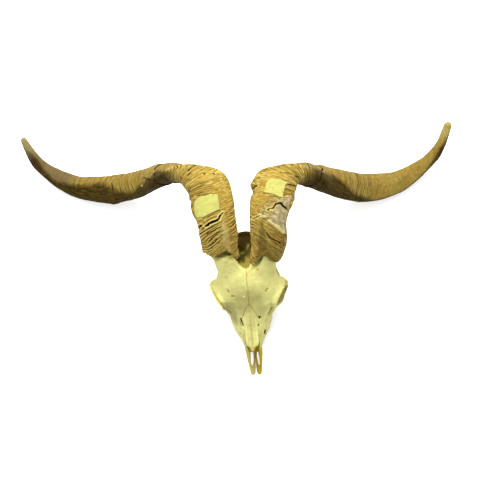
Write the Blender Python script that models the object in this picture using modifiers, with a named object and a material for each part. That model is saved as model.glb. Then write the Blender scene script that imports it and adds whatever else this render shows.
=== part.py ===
"""Skull of a long-horned domestic goat buck at life size, without its lower jaw.

It lies on a level surface on its cheek teeth and on the lowest bend of both horns.
All sizes are in millimetres and are scaled to metres where meshes are made.
x is across the skull, y is the distance back from the tip of the upper jaw and z is the height above
the surface.
"""

from math import ceil, cos, floor, pi, radians, sin, tau

import bmesh
import bpy
import numpy as np
from mathutils import Matrix, Vector

MM = 0.001
GAP = 0.3

# Where the middle of the finished skull's outline lies, so that it can stand on the origin.
MIDDLE_X = -12.0
MIDDLE_Y = 212.5

# Side view of the middle of the skull's roof: distance back, height.
ROOF = ((40, 50), (60, 58), (80, 67), (100, 79), (124, 93), (140, 104), (158, 115), (174, 120), (190, 120),
        (204, 113), (218, 104))
# Half width and thickness of the forehead, and how far its rim lies below its middle.
FOREHEAD_HALF = ((96, 17), (106, 25), (114, 33), (122, 40), (134, 49), (146, 56), (156, 63), (163, 64),
                 (170, 57), (178, 51), (186, 49), (196, 51), (210, 46))
FOREHEAD_DROP = ((96, 9), (112, 10), (124, 8), (137, 11), (146, 18), (152, 26), (159, 34), (165, 33),
                 (171, 25), (178, 16), (190, 10), (210, 14))
FOREHEAD_THICK = 8.0

# Outline of the two nasal bones together, seen from above: distance back, half width.
NASAL_HALF = ((43, 1.8), (47, 2.8), (50.5, 5.6), (52.5, 9.0), (57, 10.5), (74, 10.7), (88, 12.4), (99, 14.6),
              (108, 10.0), (117, 4.4), (123, 1.6))
NASAL_THICK = 3.4
NASAL_INNER = 0.25
# How far the tip of the snout turns to the right.
SNOUT_TURN = 1.2

# Cross-sections of the face: distance back, roof, then (half width, height) of the nasal edge, the side,
# the cheek and the gum, and the height of the palate.
FACE = (
    (47, 51, (10.5, 50), (14.0, 45), (15.2, 37), (14.0, 28), 26),
    (58, 57, (12.0, 55.5), (16.5, 47), (19.0, 36), (17.5, 22), 22),
    (68, 61, (13.0, 59.5), (18.0, 51), (24.0, 38), (22.5, 17), 20),
    (80, 67, (14.0, 64.5), (20.0, 55), (29.5, 39), (27.5, 15), 20),
    (100, 77, (16.0, 73.5), (23.0, 64), (35.5, 41), (32.5, 14.5), 21),
    (112, 84, (20.0, 80), (29.0, 70), (36.0, 46), (33.5, 14.5), 22),
    (122, 89, (22.0, 84), (38.0, 74), (38.0, 52), (34.0, 15), 22),
    (136, 96, (24.0, 89), (38.0, 74), (36.0, 52), (33.5, 17), 24),
    (148, 103, (22.0, 95), (26.0, 74), (26.0, 52), (27.0, 27), 30),
)
# How far the top of each of those cross-sections lies back, for each millimetre of height.
FACE_LEAN = (0.55, 0.3, 0.1, 0, 0, 0, 0, 0, 0)

# Orbit: centre of its rim, and the two half axes of the rim's oval.
ORBIT_CENTRE = Vector((52.0, 138.0, 73.5))
ORBIT_LONG = Vector((0.48, 0.877, 0.0)) * 21.5
ORBIT_HIGH = Vector((-0.18, 0.0, 0.98)) * 19.0
ORBIT_OUT = Vector((0.86, -0.48, 0.16)).normalized()

# Upper cheek teeth from front to back: length and width of each crown.
CHEEK_TEETH = ((7.5, 8.0), (9.5, 10.0), (9.8, 11.5), (12.5, 13.5), (15.5, 14.5), (18.0, 14.0))
TOOTH_ROW_FRONT = 68.0
TOOTH_ROW_LINE = ((66, 17.5), (80, 21.5), (100, 26.0), (120, 28.0), (142, 26.5))
TOOTH_TOP = 20.0

# Side view of the seam between the upper jaw and the cranium.
JAW_SEAM = ((100, 150), (100, 63), (107, 53), (122, 48), (142, 41.5), (153, 36))
WEDGE_HALF = 90.0

# Each horn from root to tip: place, half of its wide and narrow axes, and the side where its keel lies.
LEFT_HORN = (
    ((-37, 212, 128), 31.0, 20.0, (1.0, 0.0, 0.0)),
    ((-38, 240, 152), 32.5, 20.0, (0.98, 0.0, 0.2)),
    ((-40.8, 270, 173), 32.2, 19.5, (0.95, 0.05, 0.3)),
    ((-44.6, 299, 185), 38.2, 19.5, (0.90, 0.20, 0.38)),
    ((-49, 319, 188), 39.5, 20.0, (0.70, 0.50, 0.5)),
    ((-69.3, 333.7, 180.7), 28.5, 21.3, (0.35, 0.45, 0.8)),
    ((-92, 343, 162), 26.5, 16.0, (-0.25, 0.15, 0.9)),
    ((-115, 346, 138), 26.0, 15.5, (-0.6, -0.20, 0.7)),
    ((-141, 341, 108), 26.0, 16.5, (-0.5, -0.60, 0.55)),
    ((-170, 335, 76), 25.0, 18.0, (-0.25, -0.9, 0.4)),
    ((-206, 331, 46), 24.5, 17.0, (-0.1, -0.95, 0.3)),
    ((-248, 331, 23), 22.5, 16.0, (0.0, -1.0, 0.2)),
    ((-288, 338, 13.5), 19.0, 14.0, (0.2, -1.0, 0.15)),
    ((-323, 354, 17), 15.5, 12.5, (0.4, -0.9, 0.1)),
    ((-350, 376, 31), 12.0, 10.5, (0.6, -0.75, 0.1)),
    ((-363, 401, 49), 9.0, 8.0, (0.8, -0.5, 0.1)),
    ((-370, 421, 66), 5.8, 5.0, (0.85, -0.35, 0.1)),
)
RIGHT_HORN = (
    ((34, 205, 126), 28.5, 20.0, (-1.0, 0.0, 0.0)),
    ((41, 234, 152), 31.0, 20.0, (-0.98, 0.0, 0.2)),
    ((43.5, 265, 173), 30.5, 20.0, (-0.95, 0.05, 0.3)),
    ((50.8, 295, 185), 36.0, 19.5, (-0.90, 0.20, 0.38)),
    ((60, 315, 188), 39.5, 19.0, (-0.72, 0.48, 0.5)),
    ((73, 326, 181), 28.0, 22.0, (-0.35, 0.45, 0.8)),
    ((90, 334, 162), 25.0, 17.0, (0.25, 0.15, 0.9)),
    ((112, 331, 138), 26.5, 17.5, (0.6, -0.20, 0.7)),
    ((134, 322, 108), 27.5, 19.0, (0.5, -0.60, 0.55)),
    ((162, 315, 76), 26.0, 18.5, (0.25, -0.9, 0.4)),
    ((192, 310, 46), 25.0, 17.0, (0.1, -0.95, 0.3)),
    ((226, 310, 23), 23.0, 16.0, (0.0, -1.0, 0.2)),
    ((259, 317, 13.5), 19.0, 14.0, (-0.2, -1.0, 0.15)),
    ((290, 332, 17), 15.0, 13.0, (-0.4, -0.9, 0.1)),
    ((316, 352, 31), 11.5, 10.5, (-0.6, -0.75, 0.1)),
    ((333, 376, 49), 9.0, 8.0, (-0.8, -0.5, 0.1)),
    ((345, 405, 66), 7.0, 6.0, (-0.85, -0.35, 0.1)),
)
HORN_RINGS = 80
HORN_SIDES = 16
KEEL_SHARPNESS = 0.28
# Length over which the turn of a horn's cross-sections is evened out.
BEND_EASE = 110.0
RIDGE_HEIGHT = 0.9
KNOB_SHARE = 0.4
# The root edge of a sheath runs lower on its keel side, and levels out after this distance.
ROOT_SLANT = 5.0
ROOT_LENGTH = 35.0

# Strip of tape on each horn: distances along the horn, and the sides of the horn that it covers.
LEFT_LABEL = ((88, 118), (10.5, 13.4))
RIGHT_LABEL = ((119, 141), (2.4, 4.6))
TAPE_LIFT = 0.5
TAPE_THICK = 0.7

BONE = ("bone", (0.80, 0.76, 0.50, 1.0), 0.45)
HORN = ("horn", (0.42, 0.31, 0.12, 1.0), 0.6)
TAPE = ("tape", (0.87, 0.84, 0.45, 1.0), 0.8)

# Room kept round each premaxilla in the upper jaw and round the horns in the cranium. Both are wider
# than the gap, because the shapes are simplified.
PREMAXILLA_ROOM = 0.6
HORN_ROOM = 0.7

# Grain of the melted bones, and the triangles that each bone is reduced to.
BONE_GRAIN = 1.3
OPENING_GRAIN = 1.2
THIN_GRAIN = 0.6
CRANIUM_TRIANGLES = 6300
PREMAXILLA_TRIANGLES = 440
PREMAXILLA_ROOM_TRIANGLES = 600


def through(knots, at):
    """Smooth curve through (place, value) knots, read at one place or at several."""
    places = np.array([knot[0] for knot in knots], float)
    values = np.array([knot[1] for knot in knots], float)
    slopes = np.gradient(values, places, axis=0)
    at = np.clip(np.atleast_1d(np.asarray(at, float)), places[0], places[-1])
    i = np.clip(np.searchsorted(places, at, side="right") - 1, 0, len(places) - 2)
    step = places[i + 1] - places[i]
    t = (at - places[i]) / step
    if values.ndim > 1:
        t, step = t[:, None], step[:, None]
    return (
        values[i] * (2 * t**3 - 3 * t**2 + 1)
        + slopes[i] * step * (t**3 - 2 * t**2 + t)
        + values[i + 1] * (3 * t**2 - 2 * t**3)
        + slopes[i + 1] * step * (t**3 - t**2)
    )


def value(knots, at):
    return float(through(knots, at)[0])


def unit(v):
    return v / np.linalg.norm(v, axis=-1, keepdims=True)


def mirrored(rings):
    return [np.asarray(ring) * (-1, 1, 1) for ring in rings]


def loft(form, rings):
    """Adds a closed body through rings of points, with a fan over each end."""
    rows = [[form.verts.new(Vector(p) * MM) for p in ring] for ring in rings]
    count = len(rows[0])
    for row, after in zip(rows, rows[1:]):
        for j in range(count):
            k = (j + 1) % count
            form.faces.new((row[j], row[k], after[k]))
            form.faces.new((row[j], after[k], after[j]))
    for ring, row in ((rings[0], rows[0]), (rings[-1], rows[-1])):
        tip = form.verts.new(Vector(np.mean(ring, axis=0)) * MM)
        for j in range(count):
            form.faces.new((row[j], row[(j + 1) % count], tip))


def oval(centre, across, along, sides=12):
    """Ring of points round centre with two half axes."""
    return [np.array(centre) + cos(tau * j / sides) * np.array(across) + sin(tau * j / sides) * np.array(along)
            for j in range(sides)]


def bar(form, path, sizes, sides=12, steps=4, up=(0, 0, 1), pair=True):
    """Adds a tapered bar along a smooth path. sizes are its half width and height at each of its points."""
    knots = [(i, tuple(p) + tuple(s)) for i, (p, s) in enumerate(zip(path, sizes))]
    data = through(knots, np.linspace(0, len(path) - 1, (len(path) - 1) * steps + 1))
    line, half = data[:, :3], data[:, 3:]
    ahead = unit(np.gradient(line, axis=0))
    across = unit(np.cross(ahead, np.array(up, float)))
    over = np.cross(across, ahead)
    rings = [oval(p, a * h[0], o * h[1], sides) for p, a, o, h in zip(line, across, over, half)]
    loft(form, rings)
    if pair:
        loft(form, mirrored(rings))


def ball(form, centre, radii, turn_x=0.0, pair=True):
    """Adds an ellipsoid, tilted about the x axis by some degrees, and its twin on the other side."""
    for side in (1, -1) if pair else (1,):
        place = (
            Matrix.Diagonal((side * MM, MM, MM, 1))
            @ Matrix.Translation(Vector(centre))
            @ Matrix.Rotation(radians(turn_x), 4, "X")
            @ Matrix.Diagonal((*radii, 1))
        )
        bmesh.ops.create_uvsphere(form, u_segments=24, v_segments=14, radius=1.0, matrix=place)


def wedge(form, outline, half_width):
    """Adds a block with a side-view outline of (y, z) points, through the whole width."""
    ends = [[form.verts.new(Vector((x, y, z)) * MM) for y, z in outline] for x in (-half_width, half_width)]
    form.faces.new(ends[0])
    form.faces.new(ends[1])
    for j in range(len(outline)):
        k = (j + 1) % len(outline)
        form.faces.new((ends[0][j], ends[0][k], ends[1][k], ends[1][j]))


def group(name, shown):
    collection = bpy.data.collections.new(name)
    collection.hide_render = not shown
    bpy.context.scene.collection.children.link(collection)
    return collection


def finish_mesh(form, name, collection):
    """Turns a bmesh into an object whose faces point out."""
    bmesh.ops.recalc_face_normals(form, faces=form.faces)
    mesh = bpy.data.meshes.new(name)
    form.to_mesh(mesh)
    form.free()
    made = bpy.data.objects.new(name, mesh)
    collection.objects.link(made)
    if collection.hide_render:
        made.hide_render = True
        made.display_type = "WIRE"
    return made


def bake(obj, largest_only=True):
    """Replaces an object's modifiers by their result, and keeps its largest closed surface."""
    graph = bpy.context.evaluated_depsgraph_get()
    mesh = bpy.data.meshes.new_from_object(obj.evaluated_get(graph))
    obj.modifiers.clear()
    obj.data = mesh
    if not largest_only:
        return
    form = bmesh.new()
    form.from_mesh(mesh)
    islands, seen = [], set()
    for start in form.verts:
        if start in seen:
            continue
        island, edge_of_it = {start}, [start]
        while edge_of_it:
            vert = edge_of_it.pop()
            for edge in vert.link_edges:
                other = edge.other_vert(vert)
                if other not in island:
                    island.add(other)
                    edge_of_it.append(other)
        seen |= island
        islands.append(island)
    largest = max(islands, key=len)
    bmesh.ops.delete(form, geom=[v for v in form.verts if v not in largest], context="VERTS")
    form.to_mesh(mesh)
    form.free()


def cut(obj, cutter, operation="DIFFERENCE"):
    change = obj.modifiers.new("cut", "BOOLEAN")
    change.operation = operation
    change.solver = "MANIFOLD"
    change.object = cutter


def fuse(obj, voxel, rounds):
    """Melts overlapping bodies into one skin and softens the creases between them."""
    melt = obj.modifiers.new("melt", "REMESH")
    melt.mode = "VOXEL"
    melt.voxel_size = voxel * MM
    soften = obj.modifiers.new("soften", "SMOOTH")
    soften.factor = 0.5
    soften.iterations = rounds


def thin_out(obj, triangles):
    """Reduces a mesh to about this many triangles."""
    graph = bpy.context.evaluated_depsgraph_get()
    faces = obj.evaluated_get(graph).data.polygons
    now = sum(face.loop_total - 2 for face in faces)
    fewer = obj.modifiers.new("fewer", "DECIMATE")
    fewer.ratio = min(1.0, triangles / now)


def face_ring(row, lean=0.0):
    """Cross-section of the face at one row of FACE, leaning back with height."""
    back, roof, *levels, palate = row
    right = [(x, z) for x, z in levels]
    points = [(0, roof)] + right + [(0, palate)] + [(-x, z) for x, z in reversed(right)]
    return [(x, back + lean * (z - palate), z) for x, z in points]


def roof_point(share, back, under=0.0):
    """Point of the forehead at a share of its half width, on its outer face or some depth under it."""
    half = value(FOREHEAD_HALF, back)
    drop = value(FOREHEAD_DROP, back)
    height = value(ROOF, back) - drop * abs(share) ** 2.2
    return (half * share, back, height - under * (1 - 0.25 * share**2))


def forehead(form):
    shares = np.linspace(-1, 1, 17)
    rings = []
    for back in np.linspace(97, 209, 29):
        top = [roof_point(s, back) for s in shares]
        bottom = [roof_point(s * 0.985, back, FOREHEAD_THICK) for s in shares[::-1]]
        rings.append(top + bottom)
    loft(form, rings)


def orbit_rim(form):
    rings = []
    for i in range(33):
        angle = tau * i / 32
        centre = np.array(ORBIT_CENTRE + cos(angle) * ORBIT_LONG + sin(angle) * ORBIT_HIGH)
        outward = unit(np.array(cos(angle) * ORBIT_LONG.normalized() + sin(angle) * ORBIT_HIGH.normalized()))
        thick = 4.6 + 0.8 * cos(angle)
        rings.append(oval(centre, outward * thick, np.array(ORBIT_OUT) * 4.6, 10))
    loft(form, rings)
    loft(form, mirrored(rings))


def orbit_cup(form):
    """Solid funnel behind each orbit's rim, which the orbit is later hollowed out of."""
    rings = []
    for out, size in ((-36, 0.55), (-24, 0.85), (-12, 1.0), (0, 1.06)):
        centre = np.array(ORBIT_CENTRE + ORBIT_OUT * out)
        rings.append(oval(centre, np.array(ORBIT_LONG) * size, np.array(ORBIT_HIGH) * size, 20))
    loft(form, rings)
    loft(form, mirrored(rings))


def cranium_masses(form):
    """Forehead, orbits, cheekbones, braincase and the base of the skull."""
    forehead(form)
    orbit_rim(form)
    orbit_cup(form)
    bar(form, ((0, 112, 62), (0, 135, 72), (0, 160, 82), (0, 182, 88)),
        ((24, 17), (24, 22), (25, 26), (31, 28)), sides=20, pair=False)
    ball(form, (0, 207, 80), (36, 38, 36), turn_x=-20, pair=False)
    ball(form, (0, 224, 68), (35, 19, 30), pair=False)
    bar(form, ((-38, 214, 58), (-35, 224, 72), (-26, 235, 87), (0, 242, 96), (26, 235, 87), (35, 224, 72),
               (38, 214, 58)),
        ((4.5, 4.5),) * 7, up=(0, 1, 0.3), pair=False)
    ball(form, (0, 240, 88), (6, 5, 10), pair=False)
    ball(form, (29, 216, 70), (9, 13, 16))
    bar(form, ((57, 147, 57), (50, 129, 53), (38, 119, 48), (27, 104, 42)),
        ((5, 6), (6.5, 7), (7, 9), (8, 10)))
    bar(form, ((57, 150, 60), (51, 166, 60), (45.5, 180, 61), (41, 194, 63), (34, 207, 66)),
        ((3.4, 6.5), (3.2, 6.5), (3.2, 6), (3.8, 6), (5, 8)))
    ball(form, (36, 206, 60), (6, 11, 7))
    bar(form, ((25, 168, 92), (27, 184, 106), (30, 200, 120), (32, 214, 132)),
        ((23, 17), (22, 17), (23, 16), (24, 16)), sides=20)
    ball(form, (13, 233, 47), (9.5, 10, 13), turn_x=15)
    ball(form, (0, 224, 47), (23, 12, 15), pair=False)
    bar(form, ((31, 222, 60), (33, 228, 42), (31, 230, 25), (29, 229, 10)),
        ((5.5, 8), (4.5, 7), (3.5, 5.5), (2.2, 3)), up=(0, 1, 0))
    ball(form, (19, 207, 38), (8, 14, 12), turn_x=-15)
    bar(form, ((26, 211, 49), (39, 216, 55)), ((6, 6), (5, 5)))
    bar(form, ((0, 146, 54), (0, 172, 46), (0, 200, 41), (0, 228, 43)),
        ((11, 8), (11, 6.5), (13, 6), (16, 7)), pair=False)
    bar(form, ((12, 130, 30), (12, 146, 32), (13, 160, 37), (15, 174, 45)),
        ((2.0, 13), (2.0, 12), (2.0, 9), (2.4, 5)))


def face_masses(form):
    """Upper jaw with its swollen cheek."""
    loft(form, [face_ring(row, lean) for row, lean in zip(FACE, FACE_LEAN)])
    ball(form, (29, 102, 38), (6, 15, 8))
    bar(form, ((0, 39, 21.5), (0, 62, 27)), ((9.0, 2.4), (12, 5)), pair=False)


def skull_openings(form):
    """Everything that is hollowed out of the bone: orbits, nose, throat, palate, spine and small canals."""
    rings = []
    for out, size in ((-34, 0.22), (-27, 0.55), (-16, 0.80), (-4, 0.88), (4, 0.88), (16, 0.70)):
        centre = np.array(ORBIT_CENTRE + ORBIT_OUT * out)
        rings.append(oval(centre, np.array(ORBIT_LONG) * size, np.array(ORBIT_HIGH) * size, 20))
    loft(form, rings)
    loft(form, mirrored(rings))
    ball(form, (47, 172, 73), (12, 17, 11))
    bar(form, ((0, 30, 33), (0, 50, 38), (0, 75, 44), (0, 104, 52)), ((9.5, 9), (9.8, 11), (11, 12.5), (9, 10)),
        sides=16, pair=False)
    bar(form, ((0, 30, 4), (0, 62, 6), (0, 90, 6), (0, 125, 7), (0, 160, 12)),
        ((11, 14), (12, 14), (16, 15), (19, 15), (17, 15)), sides=20, pair=False)
    bar(form, ((0, 118, 30), (0, 140, 34), (0, 158, 34), (0, 178, 24)),
        ((8, 7), (9, 11), (10, 10), (11, 10)), sides=16, pair=False)
    bar(form, ((0, 206, 62), (0, 226, 60), (0, 256, 57)), ((9, 8), (11, 10.5), (12, 11)), sides=20, pair=False)
    bar(form, ((30, 212, 51), (47, 219, 58)), ((2.6, 2.6), (3.0, 3.0)), sides=8)
    bar(form, ((17, 86, 41), (22, 72, 38), (25, 60, 37)), ((1.6, 2.0), (2.2, 2.8), (3.0, 3.4)), sides=8)


def nasal_rings(side, grow=0.0):
    """Cross-sections of one nasal bone, arched over the nose."""
    rings = []
    places = np.linspace(NASAL_HALF[0][0], NASAL_HALF[-1][0], 14)
    places[0] -= grow
    places[-1] += grow
    for back in places:
        inner = NASAL_INNER - grow
        outer = value(NASAL_HALF, back) + 1.3 * grow
        level = value(ROOF, back) + 0.6
        top, bottom = [], []
        for share in np.linspace(0, 1, 6):
            x = inner + (outer - inner) * share
            arch = 0.2 * min(outer, 8.0) * sin(pi * (0.15 + 0.75 * share)) - 4.2 * (x / 14) ** 3
            top.append((side * x, back, level + arch + grow))
            bottom.append((side * x, back, level + arch - NASAL_THICK - grow))
        rings.append(top + bottom[::-1])
    return rings


def premaxilla(form, side, grow=0.0):
    """One incisive bone: a thick tip, a thin outer bar up to the nasal bone and a thin inner bar."""
    outer = (((4.9, 3, 11), (6.0, 9, 13.5), (8.7, 16, 18), (10.0, 26, 25), (10.4, 38, 33), (11.6, 48, 40),
              (12.8, 58, 46), (12.6, 66, 53)),
             ((3.4, 3.8), (3.2, 4.2), (1.6, 4.6), (2.0, 5.4), (3.1, 6.2), (2.6, 6.4), (1.8, 5.0), (1.3, 2.6)))
    inner = (((4.6, 4, 10.5), (3.6, 12, 12), (2.2, 17.5, 13.2), (1.3, 26, 14.5), (1.35, 38, 17), (1.4, 50, 20)),
             ((2.4, 3.2), (2.6, 3.2), (1.9, 3.0), (1.1, 2.8), (1.1, 3.0), (1.1, 2.6)))
    for path, sizes in (outer, inner):
        line = np.array(path, float) * (side, 1, 1)
        line[:, 0] += SNOUT_TURN * np.clip((58 - line[:, 1]) / 20, 0, 1)
        line[-1] += unit(line[-1] - line[-2]) * grow * 2
        grown = [(a + grow, b + grow) for a, b in sizes]
        bar(form, line, grown, sides=8, steps=3, pair=False)
    place = (Matrix.Translation((SNOUT_TURN * MM, 0, 0)) @ Matrix.Diagonal((side * MM, MM, MM, 1))
             @ Matrix.Translation((5.0, 6, 10.5))
             @ Matrix.Diagonal((4.0 + grow, 7.0 + grow, 4.0 + grow, 1)))
    bmesh.ops.create_uvsphere(form, u_segments=14, v_segments=8, radius=1.0, matrix=place)


def tooth_rings(back, length, width, side):
    """Outline of one cheek tooth at several heights: two lobes with upright ribs on the cheek side."""
    middle = value(TOOTH_ROW_LINE, back)
    rings = []
    for height, size in ((0.0, 0.86), (1.5, 0.97), (9.0, 1.0), (TOOTH_TOP, 0.95)):
        ring = []
        for j in range(16):
            angle = tau * j / 16
            x = width / 2 * size * np.sign(cos(angle)) * abs(cos(angle)) ** 0.6
            y = length / 2 * size * np.sign(sin(angle)) * abs(sin(angle)) ** 0.7
            if cos(angle) > 0.3:
                x += 0.7 * cos(2 * tau * y / length) - 0.3
            ring.append((side * (middle + x), back + y, height))
        rings.append(ring)
    return rings


def teeth(form, first):
    """Adds every second cheek tooth on both sides, so that no two of them touch."""
    back = TOOTH_ROW_FRONT
    for i, (length, width) in enumerate(CHEEK_TEETH):
        if i % 2 == first:
            for side in (1, -1):
                loft(form, tooth_rings(back + length / 2, length * 1.04, width, side))
        back += length


def eased(directions, step):
    """Directions along a line, evened out so that a horn's cross-sections stay apart in its bend."""
    count = int(BEND_EASE / step) | 1
    weights = np.hanning(count + 2)[1:-1]
    padded = np.pad(directions, ((count // 2, count // 2), (0, 0)), mode="edge")
    return unit(np.stack([np.convolve(padded[:, i], weights, "valid") for i in range(3)], axis=1))


def horn_line(stations, count):
    """Evenly spaced places along a horn, with its half axes and its own directions there."""
    places = np.array([s[0] for s in stations], float)
    lengths = np.concatenate([[0], np.cumsum(np.linalg.norm(np.diff(places, axis=0), axis=1))])
    knots = [(far, (*s[0], s[1], s[2], *s[3])) for far, s in zip(lengths, stations)]
    far = np.linspace(0, lengths[-1], count)
    data = through(knots, far)
    line = data[:, :3]
    ahead = eased(unit(np.gradient(line, axis=0)), far[1])
    keel = data[:, 5:]
    keel = unit(keel - ahead * np.sum(keel * ahead, axis=1, keepdims=True))
    flat = np.cross(ahead, keel)
    return far, line, data[:, 3], data[:, 4], ahead, keel, flat


def horn_rings(stations, grow=0.0):
    """Ridged cross-sections of a horn sheath, pointed at its keel. Nothing goes below the surface."""
    far, line, wide, narrow, ahead, keel, flat = horn_line(stations, HORN_RINGS)
    angles = tau * np.arange(HORN_SIDES) / HORN_SIDES
    toward_keel, around = np.cos(angles)[:, None], np.sin(angles)[:, None]
    rings = []
    for i in range(HORN_RINGS):
        swell = RIDGE_HEIGHT * (1 if i % 2 else -1) * min(1.0, narrow[i] / 14)
        swell = swell * (1 + KNOB_SHARE * np.maximum(toward_keel, 0)) + grow
        slant = ROOT_SLANT * max(0.0, 1 - far[i] / ROOT_LENGTH)
        ring = line[i] + (wide[i] + swell) * toward_keel * keel[i]
        ring = ring + (narrow[i] + swell) * around * (1 - KEEL_SHARPNESS * toward_keel) * flat[i]
        ring = ring - slant * toward_keel * ahead[i]
        ring[:, 2] = np.maximum(ring[:, 2], 0.0)
        rings.append(ring)
    rings[0] = rings[0] - ahead[0] * grow
    rings.append(line[-1] + (rings[-1] - line[-1]) * 0.6 + ahead[-1] * narrow[-1] * 0.7)
    return rings


def label_patch(stations, span, sides):
    """Strip of tape stuck on a horn, parallel to the ridged faces under it."""
    far = horn_line(stations, HORN_RINGS)[0]
    rings = np.array(horn_rings(stations)[:HORN_RINGS])
    outward = unit(rings - rings.mean(axis=1, keepdims=True))
    first, last = np.searchsorted(far, span)
    columns = [sides[0], *range(ceil(sides[0]), floor(sides[1]) + 1), sides[1]]

    def spread(points):
        strip = points[first : last + 1]
        corners = [strip[:, floor(c)] * (1 - c % 1) + strip[:, floor(c) + 1] * (c % 1) for c in columns]
        return np.stack(corners, axis=1)

    low = spread(rings + outward * TAPE_LIFT)
    high = spread(rings + outward * (TAPE_LIFT + TAPE_THICK))
    form = bmesh.new()
    rows, width = low.shape[:2]
    sheet = {}
    for level, points in ((0, low), (1, high)):
        for i in range(rows):
            for j in range(width):
                sheet[level, i, j] = form.verts.new(Vector(points[i, j]) * MM)
    for level in (0, 1):
        for i in range(rows - 1):
            for j in range(width - 1):
                near, far_off = sheet[level, i, j], sheet[level, i + 1, j + 1]
                form.faces.new((near, sheet[level, i + 1, j], far_off))
                form.faces.new((near, far_off, sheet[level, i, j + 1]))
    border = ([(i, 0) for i in range(rows)] + [(rows - 1, j) for j in range(1, width)]
              + [(i, width - 1) for i in range(rows - 2, -1, -1)] + [(0, j) for j in range(width - 2, 0, -1)])
    for (i, j), (k, m) in zip(border, border[1:] + border[:1]):
        form.faces.new((sheet[0, i, j], sheet[0, k, m], sheet[1, k, m], sheet[1, i, j]))
    return form


def paint(obj, look):
    name, colour, roughness = look
    material = bpy.data.materials.get(name) or bpy.data.materials.new(name)
    material.use_nodes = True
    shader = material.node_tree.nodes["Principled BSDF"]
    shader.inputs["Base Color"].default_value = colour
    shader.inputs["Roughness"].default_value = roughness
    shader.inputs["Metallic"].default_value = 0.0
    material.diffuse_color = colour
    obj.data.materials.clear()
    obj.data.materials.append(material)
    obj.data.shade_smooth()
    obj.data.set_sharp_from_angle(angle=radians(40))


def jaw_region(grow=0.0):
    """Side-view outline of the space that belongs to the upper jaw."""
    seam = [(y + grow, z + grow) for y, z in JAW_SEAM]
    return [(-30, 150)] + seam + [(153 + grow, -20), (-30, -20)]


def make_cranium(parts, tools):
    """Cranium and upper jaw in one body, hollowed out."""
    form = bmesh.new()
    cranium_masses(form)
    face_masses(form)
    cranium = finish_mesh(form, "cranium", parts)
    form = bmesh.new()
    skull_openings(form)
    openings = finish_mesh(form, "openings", tools)
    fuse(openings, OPENING_GRAIN, 0)
    bake(openings, largest_only=False)
    fuse(cranium, BONE_GRAIN, 2)
    bake(cranium)
    cut(cranium, openings)
    bake(cranium)
    fuse(cranium, BONE_GRAIN, 7)
    bake(cranium)
    thin_out(cranium, CRANIUM_TRIANGLES)
    bake(cranium)
    return cranium


def make_rooms(tools):
    """Spaces for the nasal bones and for the horns."""
    nasal_rooms, horn_rooms = [], []
    for side in (1, -1):
        form = bmesh.new()
        loft(form, nasal_rings(side, grow=GAP))
        nasal_rooms.append(finish_mesh(form, f"nasal_room_{side}", tools))
    for name, stations in (("left", LEFT_HORN), ("right", RIGHT_HORN)):
        form = bmesh.new()
        loft(form, horn_rings(stations, grow=HORN_ROOM))
        horn_rooms.append(finish_mesh(form, f"horn_room_{name}", tools))
    return nasal_rooms, horn_rooms


def split_skull(cranium, parts, tools):
    """Parts the upper jaw from the cranium along their seam and makes room for their neighbours."""
    nasal_rooms, horn_rooms = make_rooms(tools)
    upper_jaw = bpy.data.objects.new("upper_jaw", cranium.data.copy())
    parts.objects.link(upper_jaw)
    form = bmesh.new()
    wedge(form, jaw_region(), WEDGE_HALF)
    jaw_space = finish_mesh(form, "jaw_space", tools)
    form = bmesh.new()
    wedge(form, jaw_region(GAP), WEDGE_HALF)
    grown_space = finish_mesh(form, "jaw_space_grown", tools)
    for room in (*nasal_rooms, *horn_rooms, grown_space):
        cut(cranium, room)
    bake(cranium)
    cut(upper_jaw, jaw_space, "INTERSECT")
    for room in nasal_rooms:
        cut(upper_jaw, room)
    for side in (1, -1):
        form = bmesh.new()
        premaxilla(form, side, grow=PREMAXILLA_ROOM)
        room = finish_mesh(form, f"premaxilla_room_{side}", tools)
        fuse(room, THIN_GRAIN, 0)
        bake(room)
        thin_out(room, PREMAXILLA_ROOM_TRIANGLES)
        bake(room)
        cut(upper_jaw, room)
    bake(upper_jaw)
    return upper_jaw


def add_teeth(upper_jaw, tools):
    for first in (0, 1):
        form = bmesh.new()
        teeth(form, first)
        cut(upper_jaw, finish_mesh(form, f"teeth_{first}", tools), "UNION")
    bake(upper_jaw)


def add_nasal(name, side, parts):
    form = bmesh.new()
    loft(form, nasal_rings(side))
    paint(finish_mesh(form, name, parts), BONE)


def add_premaxilla(name, side, parts):
    form = bmesh.new()
    premaxilla(form, side)
    bone = finish_mesh(form, name, parts)
    fuse(bone, THIN_GRAIN, 2)
    bake(bone)
    thin_out(bone, PREMAXILLA_TRIANGLES)
    bake(bone)
    paint(bone, BONE)


def add_horn(name, stations, parts):
    form = bmesh.new()
    loft(form, horn_rings(stations))
    paint(finish_mesh(form, name, parts), HORN)


def main():
    for old in list(bpy.data.objects):
        bpy.data.objects.remove(old, do_unlink=True)
    parts = group("goat_skull", shown=True)
    tools = group("cutters", shown=False)
    cranium = make_cranium(parts, tools)
    upper_jaw = split_skull(cranium, parts, tools)
    add_teeth(upper_jaw, tools)
    paint(cranium, BONE)
    paint(upper_jaw, BONE)
    for name, side in (("left", -1), ("right", 1)):
        add_nasal(f"nasal_{name}", side, parts)
        add_premaxilla(f"premaxilla_{name}", side, parts)
    for name, stations, label in (("left", LEFT_HORN, LEFT_LABEL), ("right", RIGHT_HORN, RIGHT_LABEL)):
        add_horn(f"horn_{name}", stations, parts)
        paint(finish_mesh(label_patch(stations, *label), f"label_{name}", parts), TAPE)
    for obj in parts.objects:
        obj.data.transform(Matrix.Translation(Vector((-MIDDLE_X, -MIDDLE_Y, 0)) * MM))


main()
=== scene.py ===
"""Finished look of a long-horned goat buck's skull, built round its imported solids.

Sizes are in millimetres. x is across the skull, y is the distance back from the tip of the upper jaw and z is
the height above the surface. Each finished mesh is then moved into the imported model's frame.
"""

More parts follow.
